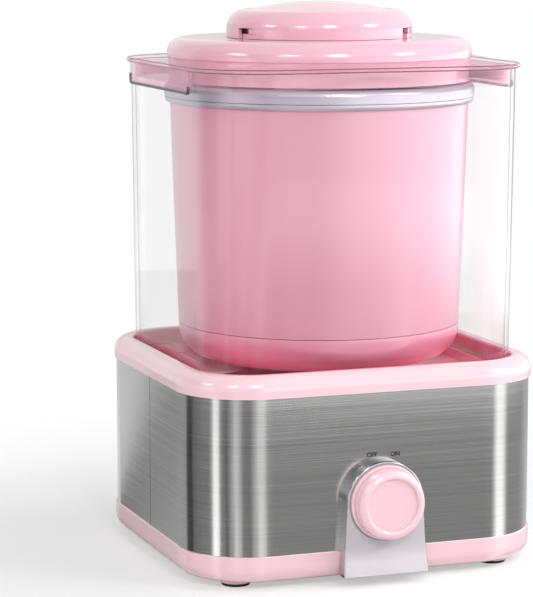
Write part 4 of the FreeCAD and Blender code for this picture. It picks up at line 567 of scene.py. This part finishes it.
def join_shaders(tree, factor, first, second, output):
    """Surface of the output that goes over from one shader to another with the factor."""
    mix = tree.nodes.new("ShaderNodeMixShader")
    tree.links.new(factor, mix.inputs[0])
    tree.links.new(first, mix.inputs[1])
    tree.links.new(second, mix.inputs[2])
    tree.links.new(mix.outputs["Shader"], tree.nodes[output].inputs["Surface"])


def floor_material():
    """Pale floor that keeps the object's shadow near it and turns white away from it."""
    material, tree, shader = new_material("floor", FLOOR_GREY, FLOOR_ROUGHNESS)
    shader.inputs["Specular IOR Level"].default_value = 0.0
    place = tree.nodes.new("ShaderNodeTexCoord")
    distance = length_of(tree, place.outputs["Object"])
    fade = map_range(tree, distance, FLOOR_FADE_SPAN, FLOOR_FADE, smooth=True)
    weight = combine(tree, "MULTIPLY", fade, background_rays(tree))
    glow = tree.nodes.new("ShaderNodeEmission")
    glow.inputs["Strength"].default_value = 1.0
    join_shaders(tree, weight, shader.outputs["BSDF"], glow.outputs["Emission"], "Material Output")
    return material


def glow_material(name):
    """Material that only glows; returns it with its node tree and glow."""
    material = bpy.data.materials.new(name)
    material.use_nodes = True
    tree = material.node_tree
    glow = tree.nodes.new("ShaderNodeEmission")
    tree.links.new(glow.outputs["Emission"], tree.nodes["Material Output"].inputs["Surface"])
    return material, tree, glow


def new_mesh(name, corners, faces, material):
    """Mesh with one material."""
    mesh = bpy.data.meshes.new(name)
    mesh.from_pydata(corners, [], faces)
    mesh.materials.append(material)
    return mesh


def grid_faces(columns, rows):
    """Faces of a grid whose corners are listed column by column."""
    faces = []
    for column in range(columns - 1):
        for row in range(rows - 1):
            first = column * rows + row
            faces.append((first, first + 1, first + rows + 1, first + rows))
    return faces


def point_towards(x, y, radius, degrees, height):
    """Point at a distance from a place, in a direction to the right of straight in front."""
    angle = math.radians(degrees)
    return (x + radius * math.sin(angle), y - radius * math.cos(angle), height)


def add_floor():
    """Wide floor under the feet."""
    corners = [(-FLOOR_REACH, -FLOOR_REACH, 0), (FLOOR_REACH, -FLOOR_REACH, 0), (FLOOR_REACH, FLOOR_REACH, 0),
               (-FLOOR_REACH, FLOOR_REACH, 0)]
    floor = add_object("floor", new_mesh("floor", corners, [(0, 1, 2, 3)], floor_material()))


def add_softbox(name, place, size, power, mirrored=True):
    """Rectangular lamp aimed at the middle of the object."""
    lamp = bpy.data.lights.new(name, "AREA")
    lamp.shape = "RECTANGLE"
    lamp.size = size[0]
    lamp.size_y = size[1]
    lamp.energy = power
    softbox = add_object(name, lamp)
    softbox.location = place
    softbox.visible_glossy = mirrored
    softbox.rotation_euler = (MIDDLE - Vector(place)).to_track_quat("-Z", "Y").to_euler()


def add_reflection(mesh):
    """Stage piece that only shiny faces see."""
    piece = add_object(mesh.name, mesh)
    piece.visible_camera = False
    piece.visible_diffuse = False
    piece.visible_transmission = False
    piece.visible_shadow = False


def add_screen(name, start, end, level, edges=NEAR_SCREEN):
    """Glowing screen round part of the studio, between two angles to the right of straight in front."""
    material, _, glow = glow_material(name)
    glow.inputs["Strength"].default_value = level
    corners = []
    for step in range(SCREEN_STEPS + 1):
        degrees = start + (end - start) * step / SCREEN_STEPS
        for radius, height in edges:
            corners.append(point_towards(0.0, AXIS_Y, radius, degrees, height))
    add_reflection(new_mesh(name, corners, grid_faces(SCREEN_STEPS + 1, len(edges)), material))


def far_glow(degrees):
    """Glow of the far floor in one direction, between the two nearest entries of the list."""
    pairs = zip(FAR_GLOW, FAR_GLOW[1:])
    (start, level), (end, next_level) = next(pair for pair in pairs if degrees <= pair[1][0])
    return level + (next_level - level) * (degrees - start) / (end - start)


def cove_columns():
    """Lines on the floor that the upright lines of the steel mirror: start, direction in degrees and grey."""
    low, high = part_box("steel_front_wrap")
    front = low[1] + STEEL_CORNER
    columns = [(low[0], high[1] + 2 * STEEL_CORNER, 2 * LEFT_WALL_FACING + LEFT_VIEW, LEFT_WALL_GREY)]
    for middle, view, bands in ((low[0] + STEEL_CORNER, LEFT_VIEW, LEFT_BANDS),
                                (high[0] - STEEL_CORNER, RIGHT_VIEW, RIGHT_BANDS)):
        for facing, grey in bands:
            x, y, _ = point_towards(middle, front, STEEL_CORNER, facing, COVE_LIFT)
            columns.append((x, y, 2 * facing + view, grey))
    return columns


def cove_material():
    """Glow whose level comes from the cloth's own corners."""
    material, tree, glow = glow_material("cove")
    band = tree.nodes.new("ShaderNodeVertexColor")
    band.layer_name = COVE_LAYER
    tree.links.new(band.outputs["Color"], glow.inputs["Color"])
    return material


def add_cove():
    """Banded floor cloth that only shiny faces see; far out its bands fade into a smooth glow."""
    columns = cove_columns()
    corners = []
    levels = []
    for x, y, degrees, grey in columns:
        for radius, band_share, glow_share in COVE_RINGS:
            corners.append(point_towards(x, y, radius, degrees, COVE_LIFT))
            levels.append(grey * band_share + far_glow(degrees) * glow_share)
    mesh = new_mesh("cove", corners, grid_faces(len(columns), len(COVE_RINGS)), cove_material())
    layer = mesh.color_attributes.new(COVE_LAYER, "FLOAT_COLOR", "POINT")
    for point, level in zip(layer.data, levels):
        point.color = (level, level, level, 1.0)
    add_reflection(mesh)


def set_world():
    """Even pale world that shows as white behind the object and brighter in shiny faces."""
    world = bpy.data.worlds.new("studio")
    world.use_nodes = True
    tree = world.node_tree
    backdrop = tree.nodes["Background"]
    backdrop.inputs["Color"].default_value = (*WORLD_GREY, 1.0)
    path = tree.nodes.new("ShaderNodeLightPath")
    level = map_range(tree, path.outputs["Is Glossy Ray"], result=WORLD_LEVELS)
    tree.links.new(level, backdrop.inputs["Strength"])
    white = tree.nodes.new("ShaderNodeBackground")
    white.inputs["Color"].default_value = (*WHITE, 1.0)
    white.inputs["Strength"].default_value = 1.0
    join_shaders(tree, background_rays(tree), backdrop.outputs["Background"], white.outputs["Background"],
                 "World Output")
    bpy.context.scene.world = world


def add_camera():
    """Camera with the photograph's place, direction and lens."""
    camera = bpy.data.cameras.new("camera")
    camera.lens = CAMERA_LENS
    camera.sensor_width = CAMERA_SENSOR
    camera_object = add_object("camera", camera)
    camera_object.location = CAMERA_PLACE
    camera_object.rotation_euler = (QUARTER_TURN - CAMERA_PITCH, 0, -CAMERA_YAW)
    bpy.context.scene.camera = camera_object


set_world()
add_floor()
add_softbox("key", place=(1.6, -0.25, 0.7), size=(0.6, 1.1), power=12.5, mirrored=False)
add_softbox("lamp_right", place=(1.25, -1.10, 1.1), size=LAMP_SIZE, power=8.0)
add_softbox("lamp_front", place=(-0.20, -1.69, 1.2), size=LAMP_SIZE, power=9.5)
add_softbox("lamp_front_left", place=(-1.15, -1.20, 1.1), size=LAMP_SIZE, power=3.0)
add_softbox("lamp_left", place=(-1.60, -0.10, 1.0), size=LAMP_SIZE, power=3.0)
add_softbox("fill_left", place=(-1.5, 0.2, 0.25), size=(0.8, 0.4), power=3.5, mirrored=False)
add_softbox("top", place=(0.8, -0.6, 1.4), size=(1.0, 1.0), power=7.0, mirrored=False)
add_screen("right_screen", start=30.0, end=125.0, level=2.0)
add_screen("front_screen", start=0.0, end=30.0, level=1.6)
add_screen("left_screen", start=-90.0, end=-66.0, level=1.3)
add_screen("left_back_screen", start=-180.0, end=-128.0, level=0.85)
add_screen("left_shade", start=-128.0, end=-60.0, level=0.15, edges=SHADE_SCREEN)
add_screen("back_screen", start=125.0, end=200.0, level=0.98, edges=BACK_SCREEN)
add_cove()
add_camera()
bpy.context.scene.view_settings.view_transform = "Standard"
